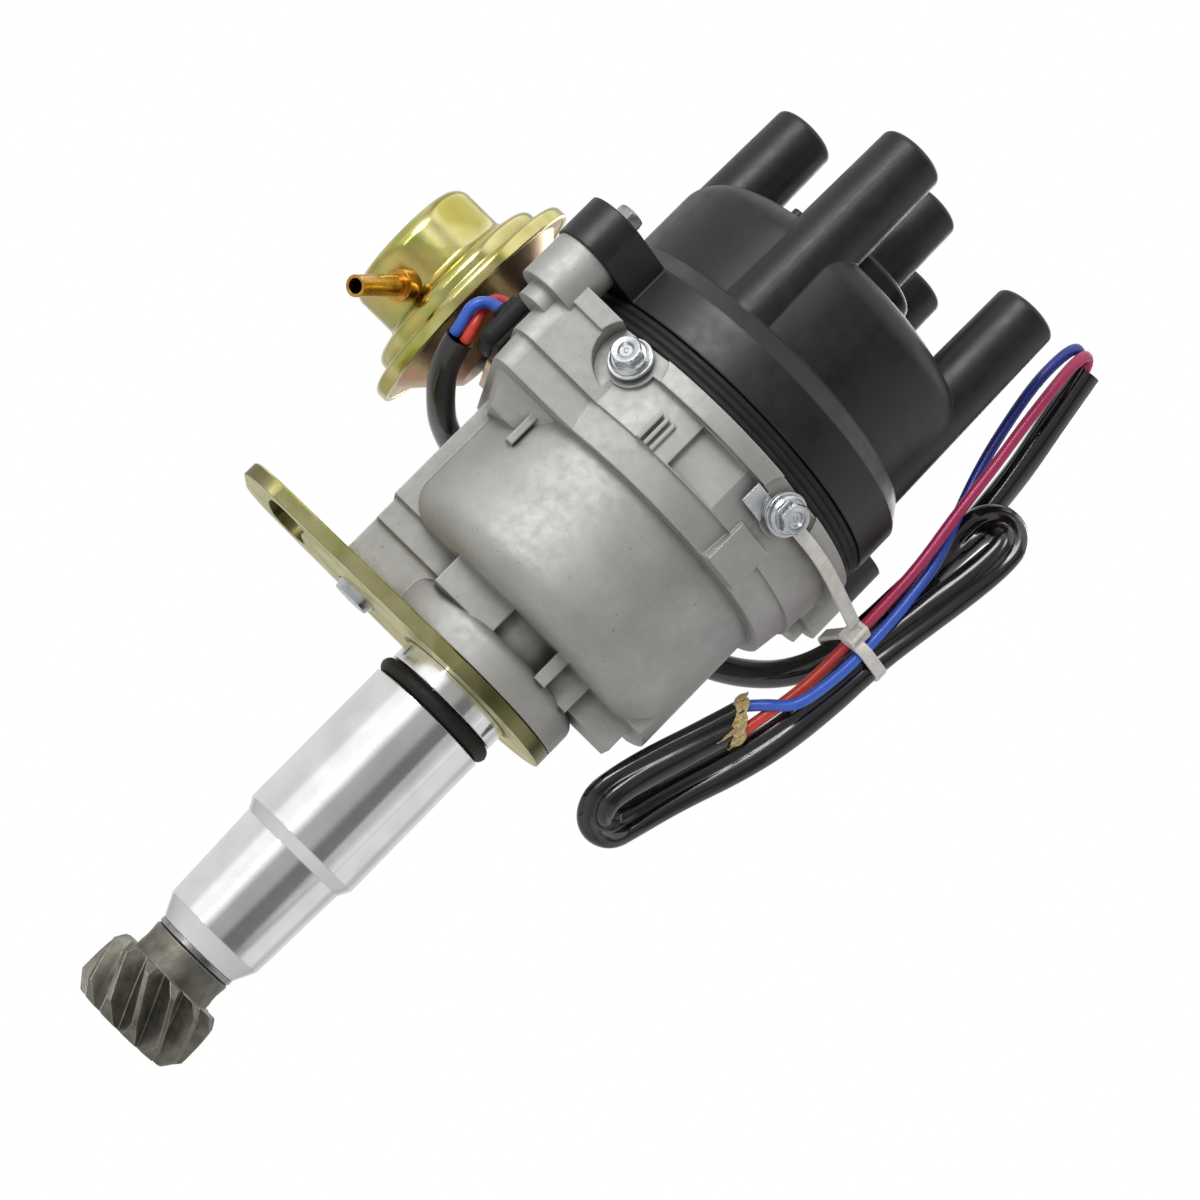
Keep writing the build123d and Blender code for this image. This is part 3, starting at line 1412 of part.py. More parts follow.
def lead(points, diameter, name):
    """Plain tube of straight runs joined by tangent arcs; prints its tightest radius."""
    corners = [Vector(*point) for point in points]
    radii = []
    for before, corner, after in zip(corners, corners[1:], corners[2:]):
        run_in = corner - before
        run_out = after - corner
        half_turn = math.radians(run_in.get_angle(run_out)) / 2
        radii.append(0.45 * min(run_in.length, run_out.length) / math.tan(half_turn))
    with BuildPart() as tube:
        with BuildLine() as route:
            FilletPolyline(*corners, radius=radii)
        path = route.wire()
        with BuildSketch(Plane(path @ 0, z_dir=path % 0)) as section:
            Circle(diameter / 2)
        sweep(section.sketch, path=path)
    filled = tube.part.volume / (math.pi * diameter ** 2 / 4 * path.length)
    print(name, "length", round(path.length, 1), "fill", round(filled, 3), "radii", [round(r, 1) for r in radii])
    save(tube.part, name)
    return tube.part


# Leads. The first sleeve runs from the grommet's wires round the back of the bowl,
# through the tie and up beside the cap. The wires turn over at its end and come down
# into the second sleeve, which is folded up again as a hank.
sleeve_route = [
    (-47.8, -9.5, 49.0),
    (-46.9, -5.5, 43.6),
    (-43.8, 3.5, 39.8),
    (-41.5, 14.5, 38.2),
    (-35.5, 27.0, 37.8),
    (-22.5, 38.0, 38.4),
    (-6.0, 43.5, 39.4),
    (10.5, 42.6, 40.0),
    (25.0, 36.0, 41.0),
    (36.5, 27.0, 43.6),
    (45.0, 17.5, 49.0),
    (51.4, 11.2, 56.6),
    (53.5, 9.6, 66.0),
    (54.4, 11.4, 82.0),
    (54.0, 11.2, 101.0),
    (52.2, 8.6, 119.0),
    (49.9, 5.6, 136.0),
]
lead(sleeve_route, sleeve_diameter, "lead_sleeve")

tail_route = [
    (45.9, 0.0, 36.2),
    (42.9, 0.1, 25.6),
    (39.0, 0.0, 14.0),
    (35.6, 0.2, 5.0),
    (37.8, 0.0, -0.6),
    (42.8, 0.0, -2.4),
    (47.4, 0.1, 0.2),
    (49.3, 0.0, 6.0),
    (50.6, 0.2, 15.5),
    (53.2, 0.0, 27.5),
    (56.0, 0.3, 40.0),
    (57.4, 0.6, 52.5),
    (57.6, 1.0, 65.0),
    (59.6, -0.6, 79.0),
    (61.2, -1.0, 91.0),
    (62.6, -0.8, 99.5),
    (62.2, 0.0, 104.6),
    (59.4, 1.0, 108.6),
    (55.2, 2.3, 108.8),
    (52.7, 3.3, 104.4),
    (52.8, 3.9, 95.5),
    (53.6, 4.2, 86.0),
]
lead(tail_route, sleeve_diameter, "tail_sleeve")

red_route = [
    (50.72, 4.52, 135.97),
    (50.37, 4.07, 138.5),
    (48.6, 1.9, 140.4),
    (45.8, -0.6, 139.6),
    (44.5, -1.8, 135.4),
    (44.5, -2.2, 128.0),
    (45.2, -2.5, 119.0),
    (47.0, -2.7, 107.5),
    (48.8, -3.0, 95.0),
    (50.2, -2.8, 83.0),
    (51.0, -2.2, 72.0),
    (51.3, -1.5, 62.0),
    (51.0, -0.8, 53.5),
    (50.2, 0.2, 46.4),
    (48.0, 1.05, 40.85),
    (46.68, 1.1, 36.04),
]
lead(red_route, wire_diameter, "red_wire")

blue_route = [
    (49.07, 6.66, 136.13),
    (48.7, 6.18, 138.86),
    (46.6, 4.6, 141.2),
    (43.4, 2.9, 140.6),
    (41.7, 1.9, 136.4),
    (41.4, 1.5, 129.0),
    (41.9, 1.1, 120.0),
    (44.4, 0.9, 108.5),
    (47.8, 0.4, 97.0),
    (51.2, -0.3, 86.0),
    (53.4, -1.6, 75.0),
    (54.2, -2.8, 64.0),
    (53.8, -3.5, 55.5),
    (52.2, -3.7, 48.6),
    (49.2, -2.5, 44.6),
    (46.51, -1.14, 41.26),
    (45.15, -1.1, 36.45),
]
lead(blue_route, wire_diameter, "blue_wire")

# Short leads between the grommet and the sleeve's mouth
red_in_route = [
    (-44.95, -9.0, 60.6),
    (-47.95, -9.0, 60.6),
    (-48.8, -9.6, 57.4),
    (-48.0, -11.0, 54.4),
    (-46.94, -11.52, 51.73),
    (-46.52, -9.63, 49.18),
]
lead(red_in_route, wire_diameter, "red_lead_in")

blue_in_route = [
    (-44.95, -12.8, 58.2),
    (-48.2, -12.8, 58.2),
    (-50.4, -13.2, 54.8),
    (-49.52, -11.32, 51.45),
    (-49.1, -9.43, 48.9),
]
lead(blue_in_route, wire_diameter, "blue_lead_in")

# Tape collar round the second sleeve's mouth and the boot that closes its far end
mouth = Vector(*tail_route[0])
mouth_plane = Plane(mouth, z_dir=Vector(*tail_route[1]) - mouth)
tail_end = Vector(*tail_route[-1])
end_plane = Plane(tail_end, z_dir=tail_end - Vector(*tail_route[-2]))
sleeve_radius_outer = sleeve_diameter / 2

with BuildPart() as tape_collar:
    with BuildSketch(mouth_plane.offset(0.6)):
        Circle(sleeve_radius_outer + seat_gap + tape_thickness)
        Circle(sleeve_radius_outer + seat_gap, mode=Mode.SUBTRACT)
    extrude(amount=tape_width)
save(tape_collar.part, "tape_collar")

with BuildPart() as end_boot:
    with BuildSketch(end_plane.offset(-boot_lap)):
        Circle(sleeve_radius_outer + seat_gap + boot_wall)
    extrude(amount=boot_length)
    fillet(end_boot.faces().filter_by(GeomType.PLANE).sort_by(Axis.Z)[0].edges(), 1.2)
    with BuildSketch(end_plane.offset(-boot_lap)):
        Circle(sleeve_radius_outer + seat_gap)
    extrude(amount=boot_lap + seat_gap, mode=Mode.SUBTRACT)
save(end_boot.part, "end_boot")

# Tie: eye under the right side screw, strap round the flange, head and loop
screw_angle = side_screw_angles[1]
tab_plane = side_plane(screw_angle, side_seat + seat_gap)
eye_plane = side_plane(screw_angle, side_seat + 2 * seat_gap + tab_thickness)
eye_thickness = washer_stack - 0.8 - 3 * seat_gap - tab_thickness
bundle = [
    ((52.5, 10.3), sleeve_radius_outer + 0.9),
    ((51.3, -1.5), wire_diameter / 2 + 0.5),
    ((54.1, -3.0), wire_diameter / 2 + 0.5),
    ((57.5, 0.9), sleeve_radius_outer + 0.4),
]

with BuildPart() as tie_tab:
    with BuildSketch(tab_plane):
        Circle(side_washer_radius - 0.4)
        with Locations((-5.6, -2.4)):
            Rectangle(6, 4.6)
        Circle(side_screw_radius + 0.2, mode=Mode.SUBTRACT)
    extrude(amount=tab_thickness)
save(tie_tab.part, "tie_tab")

with BuildPart() as cable_tie:
    with BuildSketch(eye_plane):
        Circle(side_washer_radius - 0.2)
        with Locations((3, strap_bottom + strap_width / 2 - side_screw_z)):
            Rectangle(6, strap_width)
        Circle(side_screw_radius + 0.2, mode=Mode.SUBTRACT)
    extrude(amount=eye_thickness)
    with BuildSketch(Plane.XY.offset(strap_bottom)):
        with BuildLine() as strap_line:
            FilletPolyline(
                (25.69, -32.24), (29.84, -30.76), (35.6, -25.0), (41.45, -15.9), (46.2, -8.2), (48.4, -4.4),
                radius=6,
            )
        trace(line_width=strap_thickness)
    extrude(amount=strap_width)
    with BuildSketch(Plane.XY.offset(loop_bottom)):
        for centre, reach in bundle:
            with Locations(centre):
                Circle(reach + strap_thickness)
        make_hull()
    extrude(amount=strap_width)
    with BuildSketch(Plane.XY.offset(loop_bottom)):
        with Locations((48.9, -3.8)):
            RectangleRounded(5, 4.4, 1, rotation=-30)
    extrude(amount=strap_bottom + strap_width - loop_bottom)
    with BuildSketch(Plane.XY.offset(loop_bottom)):
        for centre, reach in bundle:
            with Locations(centre):
                Circle(reach)
        make_hull()
    extrude(amount=2 * strap_width, mode=Mode.SUBTRACT)
save(cable_tie.part, "cable_tie")
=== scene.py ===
"""Looks of the ignition distributor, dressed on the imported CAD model.

Sizes are in millimetres, and MM turns them to metres.
"""
import json
import math

import bpy
import numpy as np
from mathutils import Matrix, Vector


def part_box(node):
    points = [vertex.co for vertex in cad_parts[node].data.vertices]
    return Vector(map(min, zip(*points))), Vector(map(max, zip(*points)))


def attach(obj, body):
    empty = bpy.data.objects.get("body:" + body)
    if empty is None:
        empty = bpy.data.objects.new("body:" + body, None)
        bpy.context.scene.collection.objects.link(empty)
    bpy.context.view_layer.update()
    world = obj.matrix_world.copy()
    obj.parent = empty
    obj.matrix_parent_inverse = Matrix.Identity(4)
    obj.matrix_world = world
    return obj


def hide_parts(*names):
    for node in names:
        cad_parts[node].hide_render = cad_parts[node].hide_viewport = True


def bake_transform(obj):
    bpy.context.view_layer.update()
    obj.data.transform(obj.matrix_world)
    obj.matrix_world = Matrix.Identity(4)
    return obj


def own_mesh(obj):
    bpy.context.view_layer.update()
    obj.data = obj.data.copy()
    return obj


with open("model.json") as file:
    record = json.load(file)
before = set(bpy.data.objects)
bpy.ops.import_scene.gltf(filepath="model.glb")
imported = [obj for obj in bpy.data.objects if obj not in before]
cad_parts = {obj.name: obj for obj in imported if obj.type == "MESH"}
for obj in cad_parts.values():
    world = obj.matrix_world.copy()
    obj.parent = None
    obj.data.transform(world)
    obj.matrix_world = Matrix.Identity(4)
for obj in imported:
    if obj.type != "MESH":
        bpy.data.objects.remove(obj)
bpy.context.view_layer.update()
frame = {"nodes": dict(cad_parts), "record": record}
MM = 0.001

# The photograph's camera: it looks along +Y, a little upwards, and is rolled
IMAGE_WIDTH = 1200
FOCAL_PIXELS = 2829
SENSOR_WIDTH = 36
CAMERA_DISTANCE = 565
CAMERA_PITCH = math.radians(8.1)
CAMERA_ROLL = math.radians(44.5)
AIM = (8.22, 0, 32.66)

# Leads
SLEEVE_DIAMETER = 6.0
SLEEVE_WALL = 0.45
WIRE_DIAMETER = 2.4

LEAD_SLEEVE_ROUTE = [
    (-47.8, -9.5, 49),
    (-46.9, -5.5, 43.6),
    (-42.6, 2.5, 39),
    (-39.6, 13, 37.4),
    (-34, 25.2, 37.2),
    (-22, 36.8, 38),
    (-6, 42.6, 39),
    (10.5, 41.8, 39.8),
    (25, 35.6, 41),
    (36.3, 27.2, 43.6),
    (44.3, 18.6, 48.8),
    (49.4, 13.6, 56.2),
    (51.4, 11.8, 66),
    (52.4, 12.2, 81.5),
    (52.9, 12, 98),
    (51.8, 11, 113),
    (49.7, 9.6, 125.5),
    (47.3, 7.8, 139.2),
]

TAIL_SLEEVE_LENGTH = 174.2
TAIL_SLEEVE_ROUTE = [
    (44.9, -1.5, 35.4),
    (42.2, -2.6, 27),
    (39, -3.9, 17.5),
    (36.8, -4.7, 10),
    (35.7, -4.92, 4.55),
    (36.9, -2.97, 1.4),
    (39.1, 0.2, 0.19),
    (41.88, 3.37, 1.4),
    (43.06, 5.32, 4.55),
    (44.6, 5, 10.5),
    (47.2, 4.2, 18.5),
    (50.4, 3.2, 27.5),
    (53.2, 2.2, 38),
    (54.6, 1.4, 49.5),
    (55.2, 0.9, 62),
    (57, -0.4, 74),
    (58.7, -1.4, 84.5),
    (59.8, -2, 93),
    (60, -2.2, 98.52),
    (58.58, -0.74, 101.31),
    (56.3, 1.6, 102.37),
    (54.02, 3.94, 101.31),
    (52.6, 5.4, 98.52),
    (52.5, 5.6, 90.5),
    (53, 5.5, 81.5),
]

RED_WIRE_LENGTH = 114.6
RED_WIRE_ROUTE = [
    (47.02, 6.93, 137),
    (46.6, 6.6, 139.3),
    (45.2, 4.5, 140.9),
    (44, 2, 139.6),
    (43.6, 0.4, 135.4),
    (44.1, -0.8, 128),
    (44.85, -1.8, 119.5),
    (46.3, -2.7, 108),
    (47.55, -3.1, 95),
    (49.3, -3.2, 82.5),
    (49.6, -3, 72),
    (49.8, -2.3, 62.5),
    (49.8, -2, 54.5),
    (49.4, -1.7, 47.5),
    (48.2, -1.3, 40.5),
    (46.9, -1.5, 33.9),
]

BLUE_WIRE_LENGTH = 118.0
BLUE_WIRE_ROUTE = [
    (45.38, 9.07, 137),
    (44.95, 8.75, 139.4),
    (43.6, 7, 141.3),
    (41.8, 4.8, 140.6),
    (40.9, 3.4, 136.4),
    (40.8, 2.6, 129),
    (41.9, 2, 120.5),
    (44.1, 1.4, 109),
    (47.4, 0.8, 98),
    (51.2, -0.3, 88),
    (52.6, -1.8, 77),
    (53.1, -2.9, 66),
    (52.9, -3.7, 57),
    (52, -4.4, 49.9),
    (51, -4.9, 45.6),
    (49.6, -4.2, 43.2),
    (46, -2, 40.4),
    (42.6, -1.6, 36.4),
]

RED_LEAD_IN_ROUTE = [
    (-44.95, -9.0, 60.6),
    (-47.95, -9.0, 60.6),
    (-48.8, -9.6, 57.4),
    (-48.0, -11.0, 54.4),
    (-46.94, -11.52, 51.73),
    (-46.52, -9.63, 49.18),
]

BLUE_LEAD_IN_ROUTE = [
    (-44.95, -12.8, 58.2),
    (-48.2, -12.8, 58.2),
    (-50.4, -13.2, 54.8),
    (-49.52, -11.32, 51.45),
    (-49.1, -9.43, 48.9),
]

# Side screws, their washers and the tie
SIDE_SCREW_ANGLES = (-118, -58)
SIDE_SCREW_HEIGHT = 64.2
SIDE_SEAT = 40.15
WASHER_STACK = 1.9
WASHER_RADIUS = 4.5
WASHER_THICKNESS = 0.8
STRAP_WIDTH = 2.7
STRAP_THICKNESS = 1.0
STRAP_BOTTOM = 62.8
LOOP_BOTTOM = 60.4


# Camera, floor and light

def set_camera():
    forward = Vector((0, math.cos(CAMERA_PITCH), math.sin(CAMERA_PITCH)))
    right = Vector((1, 0, 0))
    up = right.cross(forward)
    across = right * math.cos(CAMERA_ROLL) + up * math.sin(CAMERA_ROLL)
    upward = up * math.cos(CAMERA_ROLL) - right * math.sin(CAMERA_ROLL)
    camera = bpy.data.objects.new("camera", bpy.data.cameras.new("camera"))
    bpy.context.scene.collection.objects.link(camera)
    turn = Matrix((across, upward, -forward)).transposed().to_4x4()
    camera.matrix_world = Matrix.Translation((Vector(AIM) - forward * CAMERA_DISTANCE) * MM) @ turn
    camera.data.sensor_width = SENSOR_WIDTH
    camera.data.lens = FOCAL_PIXELS / IMAGE_WIDTH * SENSOR_WIDTH
    camera.data.clip_start = 0.01
    bpy.context.scene.camera = camera


def add(tree, kind, inputs=None, **settings):
    """Adds a shader node, with its settings, and links or sets its inputs."""
    made = tree.nodes.new("ShaderNode" + kind)
    for name, value in settings.items():
        setattr(made, name, value)
    for socket, value in (inputs or {}).items():
        if isinstance(value, bpy.types.NodeSocket):
            tree.links.new(value, made.inputs[socket])
        else:
            made.inputs[socket].default_value = value
    return made


def rgb(code):
    """A colour written as sRGB hex, as linear RGBA."""
    parts = [int(code[n:n + 2], 16) / 255 for n in (1, 3, 5)]
    return (*[p / 12.92 if p <= 0.04045 else ((p + 0.055) / 1.055) ** 2.4 for p in parts], 1)


def grey(level):
    return (level, level, level, 1)


def ramp(tree, value, *stops, smooth=False):
    """Colour that follows a value from stop to stop; a stop is a place and a colour."""
    made = add(tree, "ValToRGB", {0: value})
    band = made.color_ramp
    band.interpolation = "EASE" if smooth else "LINEAR"
    while len(band.elements) < len(stops):
        band.elements.new(1)
    for element, (place, colour) in zip(band.elements, stops):
        element.position = place
        element.color = rgb(colour) if isinstance(colour, str) else grey(colour)
    return made.outputs[0]


def mix(tree, share, first, second, way="MIX"):
    made = add(tree, "Mix", {0: share, 6: first, 7: second}, data_type="RGBA", blend_type=way)
    return made.outputs[2]


def sum_of(tree, operation, first, second=0.0, clamp=False):
    return add(tree, "Math", {0: first, 1: second}, operation=operation, use_clamp=clamp).outputs[0]


def light_studio():
    """Even room light, a white backdrop, and soft panels round the object for metal to mirror."""
    world = bpy.data.worlds.new("studio")
    bpy.context.scene.world = world
    world.use_nodes = True
    tree = world.node_tree
    tree.nodes.clear()
    direction = add(tree, "TexCoord").outputs["Generated"]
    parts = add(tree, "SeparateXYZ", {0: direction})
    toward_camera = sum_of(tree, "MULTIPLY", parts.outputs[1], -1.0)
    angle = sum_of(tree, "ARCTAN2", parts.outputs[0], toward_camera)
    turn = sum_of(tree, "MULTIPLY_ADD", angle, 1 / (2 * math.pi))
    turn.node.inputs[2].default_value = 0.5
    panels = ramp(
        tree, turn, (0.0, 0.76), (0.29, 0.76), (0.325, 1.12), (0.43, 1.1), (0.465, 0.44), (0.54, 0.42),
        (0.57, 0.18), (0.665, 0.18), (0.70, 0.42), (0.73, 0.78), (0.82, 0.76), (0.86, 0.5), (0.93, 0.76),
    )
    steepness = sum_of(tree, "ABSOLUTE", parts.outputs[2])
    level_share = ramp(tree, steepness, (0.35, 0.0), (0.75, 1.0), smooth=True)
    level = sum_of(tree, "MULTIPLY_ADD", parts.outputs[2], 0.5)
    level.node.inputs[2].default_value = 0.5
    levels = ramp(
        tree, level, (0.0, 0.2), (0.25, 0.7), (0.33, 0.85), (0.67, 0.85), (0.72, 0.25), (0.8, 0.22),
        (0.85, 1.25), (1.0, 1.0),
    )
    mirrored = mix(tree, level_share, panels, levels)
    height = add(tree, "MapRange", {0: parts.outputs[2], 1: -0.75, 2: -0.1, 3: 0.3, 4: 1.0}).outputs[0]
    mirrored = mix(tree, 1.0, mirrored, height, "MULTIPLY")
    rays = add(tree, "LightPath")
    white = rgb("#FFFFFF")
    room = add(tree, "Background", {"Color": white, "Strength": sum_of(tree, "MULTIPLY", height, 0.5)})
    mirror = add(tree, "Background", {"Color": mirrored, "Strength": 1.0})
    backdrop = add(tree, "Background", {"Color": white, "Strength": 1.0})
    shiny = sum_of(tree, "MAXIMUM", rays.outputs["Is Glossy Ray"], rays.outputs["Is Transmission Ray"])
    lit = add(tree, "MixShader", {0: shiny, 1: room.outputs[0], 2: mirror.outputs[0]})
    to_camera = rays.outputs["Is Camera Ray"]
    seen = add(tree, "MixShader", {0: to_camera, 1: lit.outputs[0], 2: backdrop.outputs[0]})
    tree.links.new(seen.outputs[0], add(tree, "OutputWorld").inputs[0])


def add_lamp(name, place, size, power, height=None):
    lamp = bpy.data.objects.new(name, bpy.data.lights.new(name, "AREA"))
    bpy.context.scene.collection.objects.link(lamp)
    lamp.data.shape = "RECTANGLE" if height else "DISK"
    lamp.data.size = size
    if height:
        lamp.data.size_y = height
    lamp.data.energy = power
    lamp.location = place
    middle = Vector((0, 0, 35)) * MM
    lamp.rotation_euler = (middle - lamp.location).to_track_quat("-Z", "Y").to_euler()
    lamp.visible_camera = False


def add_floor():
    bpy.ops.object.select_all(action="DESELECT")
    bpy.ops.mesh.primitive_plane_add(size=3, location=(0, 0, -0.5))
    floor = bpy.context.object
    floor.name = "floor"
    material = bpy.data.materials.new("floor")
    material.use_nodes = True
    tree = material.node_tree
    tree.nodes.clear()
    matte = add(tree, "BsdfDiffuse", {"Color": rgb("#F4F4F4")})
    white = add(tree, "Emission", {"Color": rgb("#FFFFFF"), "Strength": 1.0})
    rays = add(tree, "LightPath")
    to_camera = rays.outputs["Is Camera Ray"]
    seen = add(tree, "MixShader", {0: to_camera, 1: matte.outputs[0], 2: white.outputs[0]})
    tree.links.new(seen.outputs[0], add(tree, "OutputMaterial").inputs[0])
    floor.data.materials.append(material)


# Parts of a finish

def start(name, **sockets):
    """A new material: its tree, its shader with the even values set, and the piece's own coordinates."""
    material = bpy.data.materials.new(name)
    material.use_nodes = True
    tree = material.node_tree
    shader = tree.nodes["Principled BSDF"]
    for socket, value in sockets.items():
        shader.inputs[socket.replace("_", " ")].default_value = value
    place = add(tree, "TexCoord").outputs["Object"]
    return material, tree, shader, place


def speckle(tree, place, size, detail=2.0, stretch=(1, 1, 1)):
    """Noise with features of a size in millimetres, drawn out along an axis where stretch is below 1."""
    at = add(tree, "Mapping", {"Vector": place, "Scale": stretch}).outputs[0]
    return add(tree, "TexNoise", {"Vector": at, "Scale": 1000 / size, "Detail": detail}).outputs[0]


def soften(tree, radius):
    """Normals that round every edge of the piece by a radius in millimetres."""
    return add(tree, "Bevel", {"Radius": radius * MM}, samples=6).outputs[0]


def edges(tree, softened, reach=0.12):
    """1 along the piece's edges and 0 on its faces; finishes use it to place rubbed wear, painted highlight
    and painted shade there.
    """
    flat = add(tree, "NewGeometry").outputs["Normal"]
    turned = add(tree, "VectorMath", {0: flat, 1: softened}, operation="DOT_PRODUCT").outputs["Value"]
    found = add(tree, "MapRange", {0: turned, 1: 1.0, 2: 1 - reach, 3: 0.0, 4: 1.0})
    return found.outputs[0]


def bump(tree, height, depth, normal=None):
    """Relief of a depth in millimetres."""
    inputs = {"Height": height, "Distance": depth * MM, "Strength": 1.0}
    if normal is not None:
        inputs["Normal"] = normal
    return add(tree, "Bump", inputs).outputs[0]


def finish(tree, shader, colour=None, roughness=None, normal=None):
    for socket, value in (("Base Color", colour), ("Roughness", roughness), ("Normal", normal)):
        if value is not None:
            tree.links.new(value, shader.inputs[socket])


# Finishes

def cast_aluminium():
    """Shot blasted casting above the plate, bright turned shank with fine feed lines below it."""
    material, tree, shader, place = start("cast_aluminium", Metallic=1.0)
    softened = soften(tree, 0.45)
    rubbed = edges(tree, softened)
    height = add(tree, "SeparateXYZ", {0: place}).outputs[2]
    turned = sum_of(tree, "LESS_THAN", height, 0.001)
    mottle = speckle(tree, place, 9, 3)
    blasted = ramp(tree, mottle, (0.3, "#B5B4B1"), (0.7, "#C0BFBC"))
    pores = ramp(tree, speckle(tree, place, 0.8, 3), (0.24, 0.7), (0.33, 1.0))
    cast = mix(tree, 1.0, blasted, pores, "MULTIPLY")
    # Painted shade: the casting's colour is darkened in crevices, recesses and under steps, where ambient
    # occlusion finds the surface closed in.
    painted_crevice_shade = add(tree, "AmbientOcclusion", {"Distance": 3.5 * MM}, samples=6).outputs["AO"]
    cast = mix(tree, 1.0, cast, ramp(tree, painted_crevice_shade, (0.3, 0.4), (0.85, 1.0)), "MULTIPLY")
    cast = mix(tree, sum_of(tree, "MULTIPLY", rubbed, 0.4), cast, rgb("#D6D4CF"))
    bright = ramp(tree, speckle(tree, place, 9, 2), (0.35, "#E6E6E6"), (0.65, "#F2F2F2"))
    grain = speckle(tree, place, 0.3, 2)
    coarse = speckle(tree, place, 1.8, 2)
    skin = sum_of(tree, "ADD", grain, coarse)
    blasted_bump = bump(tree, skin, 0.03, softened)
    feed = speckle(tree, place, 0.25, 1, (0.02, 0.02, 1))
    turned_bump = bump(tree, feed, 0.0015, softened)
    relief = add(tree, "Mix", {0: turned, 4: blasted_bump, 5: turned_bump}, data_type="VECTOR").outputs[1]
    cast_roughness = ramp(tree, coarse, (0.3, 0.6), (0.7, 0.7))
    turned_roughness = ramp(tree, feed, (0.3, 0.1), (0.7, 0.16))
    tint = mix(tree, turned, cast, bright)
    finish(tree, shader, tint, mix(tree, turned, cast_roughness, turned_roughness), relief)
    return material


# Dark olive tints of painted shade, for the edges of plated sheet and for its upright side faces.
SHADED_EDGE_TINT = "#57573F"
SHADED_RIM_TINT = "#5C5B45"


def plated(name, colours, roughness, shaded_rim=False):
    """Sheet steel with a passivated plate: its colour drifts, and painted shade darkens its edges, its
    crevices and, where asked, its upright side faces.
    """
    material, tree, shader, place = start(name, Metallic=1.0)
    softened = soften(tree, 0.2)
    drift = speckle(tree, place, 18, 2)
    spread = (0.34, 0.45, 0.56, 0.68)
    tint = ramp(tree, drift, *zip(spread, colours), smooth=True)
    cloud = ramp(tree, speckle(tree, place, 3, 3), (0.3, 0.93), (0.6, 1.0))
    tint = mix(tree, 1.0, tint, cloud, "MULTIPLY")
    # Painted shade: edges are darkened towards a dark olive tint.
    tint = mix(tree, sum_of(tree, "MULTIPLY", edges(tree, softened), 0.75), tint, rgb(SHADED_EDGE_TINT))
    # Painted shade: the plate's colour is darkened in crevices and recesses, where ambient occlusion finds it
    # closed in.
    painted_crevice_shade = add(tree, "AmbientOcclusion", {"Distance": 3 * MM}, samples=6).outputs["AO"]
    tint = mix(tree, 1.0, tint, ramp(tree, painted_crevice_shade, (0.3, 0.3), (0.8, 1.0)), "MULTIPLY")
    # Painted shade: the sheet's upright side faces are darkened towards a dark olive tint.
    if shaded_rim:
        facing = add(tree, "SeparateXYZ", {0: add(tree, "NewGeometry").outputs["Normal"]}).outputs[2]
        rim = sum_of(tree, "LESS_THAN", sum_of(tree, "ABSOLUTE", facing), 0.4)
        tint = mix(tree, sum_of(tree, "MULTIPLY", rim, 0.8), tint, rgb(SHADED_RIM_TINT))
    low, high = roughness
    shine = ramp(tree, speckle(tree, place, 5, 3), (0.3, low), (0.7, high))
    drawn = speckle(tree, place, 0.35, 2, (1, 0.15, 1))
    finish(tree, shader, tint, shine, bump(tree, drawn, 0.004, softened))
    return material


def ground_metal(
    name, dark, light, roughness, grain=0.18, depth=0.004, softness=0.15, worn_and_highlight_tint="#FFFFFF", wear_and_highlight_share=0.2
):
    """Turned, ground or pressed metal with a fine grain, and edges lightened towards a pale tint as rubbed
    wear and painted highlight.
    """
    material, tree, shader, place = start(name, Metallic=1.0)
    softened = soften(tree, softness)
    tint = ramp(tree, speckle(tree, place, 2.5, 4), (0.3, dark), (0.7, light))
    # Rubbed wear and painted highlight: edges are lightened towards a pale tint.
    rubbed = sum_of(tree, "MULTIPLY", edges(tree, softened), wear_and_highlight_share)
    tint = mix(tree, rubbed, tint, rgb(worn_and_highlight_tint))
    shine = ramp(tree, speckle(tree, place, 1.2, 3), (0.3, roughness - 0.05), (0.7, roughness + 0.07))
    finish(tree, shader, tint, shine, bump(tree, speckle(tree, place, grain, 2), depth, softened))
    return material


def moulded(name, dark, light, roughness, skin_size, skin_depth, softness=0.3, specular=0.5):
    """Moulded plastic or rubber: a skin with a fine texture and an uneven gloss."""
    material, tree, shader, place = start(name)
    shader.inputs["Specular IOR Level"].default_value = specular
    softened = soften(tree, softness)
    tint = ramp(tree, speckle(tree, place, 6, 4), (0.3, dark), (0.7, light))
    low, high = roughness
    shine = ramp(tree, speckle(tree, place, 3, 4), (0.3, low), (0.7, high))
    finish(tree, shader, tint, shine, bump(tree, speckle(tree, place, skin_size, 3), skin_depth, softened))
    return material


def insulation(name, low_colour, high_colour, change):
    """Wire insulation whose colour turns with height, with fine draw lines and a waxy gloss."""
    material, tree, shader, place = start(name, Coat_Weight=0.25, Coat_Roughness=0.2)
    height = add(tree, "SeparateXYZ", {0: place}).outputs[2]
    low, high = change
    share = add(tree, "MapRange", {0: height, 1: low * MM, 2: high * MM, 3: 0.0, 4: 1.0}).outputs[0]
    tint = mix(tree, share, rgb(low_colour), rgb(high_colour))
    cloud = ramp(tree, speckle(tree, place, 3, 3), (0.3, 0.88), (0.7, 1.0))
    tint = mix(tree, 1.0, tint, cloud, "MULTIPLY")
    shine = ramp(tree, speckle(tree, place, 1.5, 3), (0.3, 0.3), (0.7, 0.42))
    finish(tree, shader, tint, shine, bump(tree, speckle(tree, place, 0.6), 0.02))
    return material


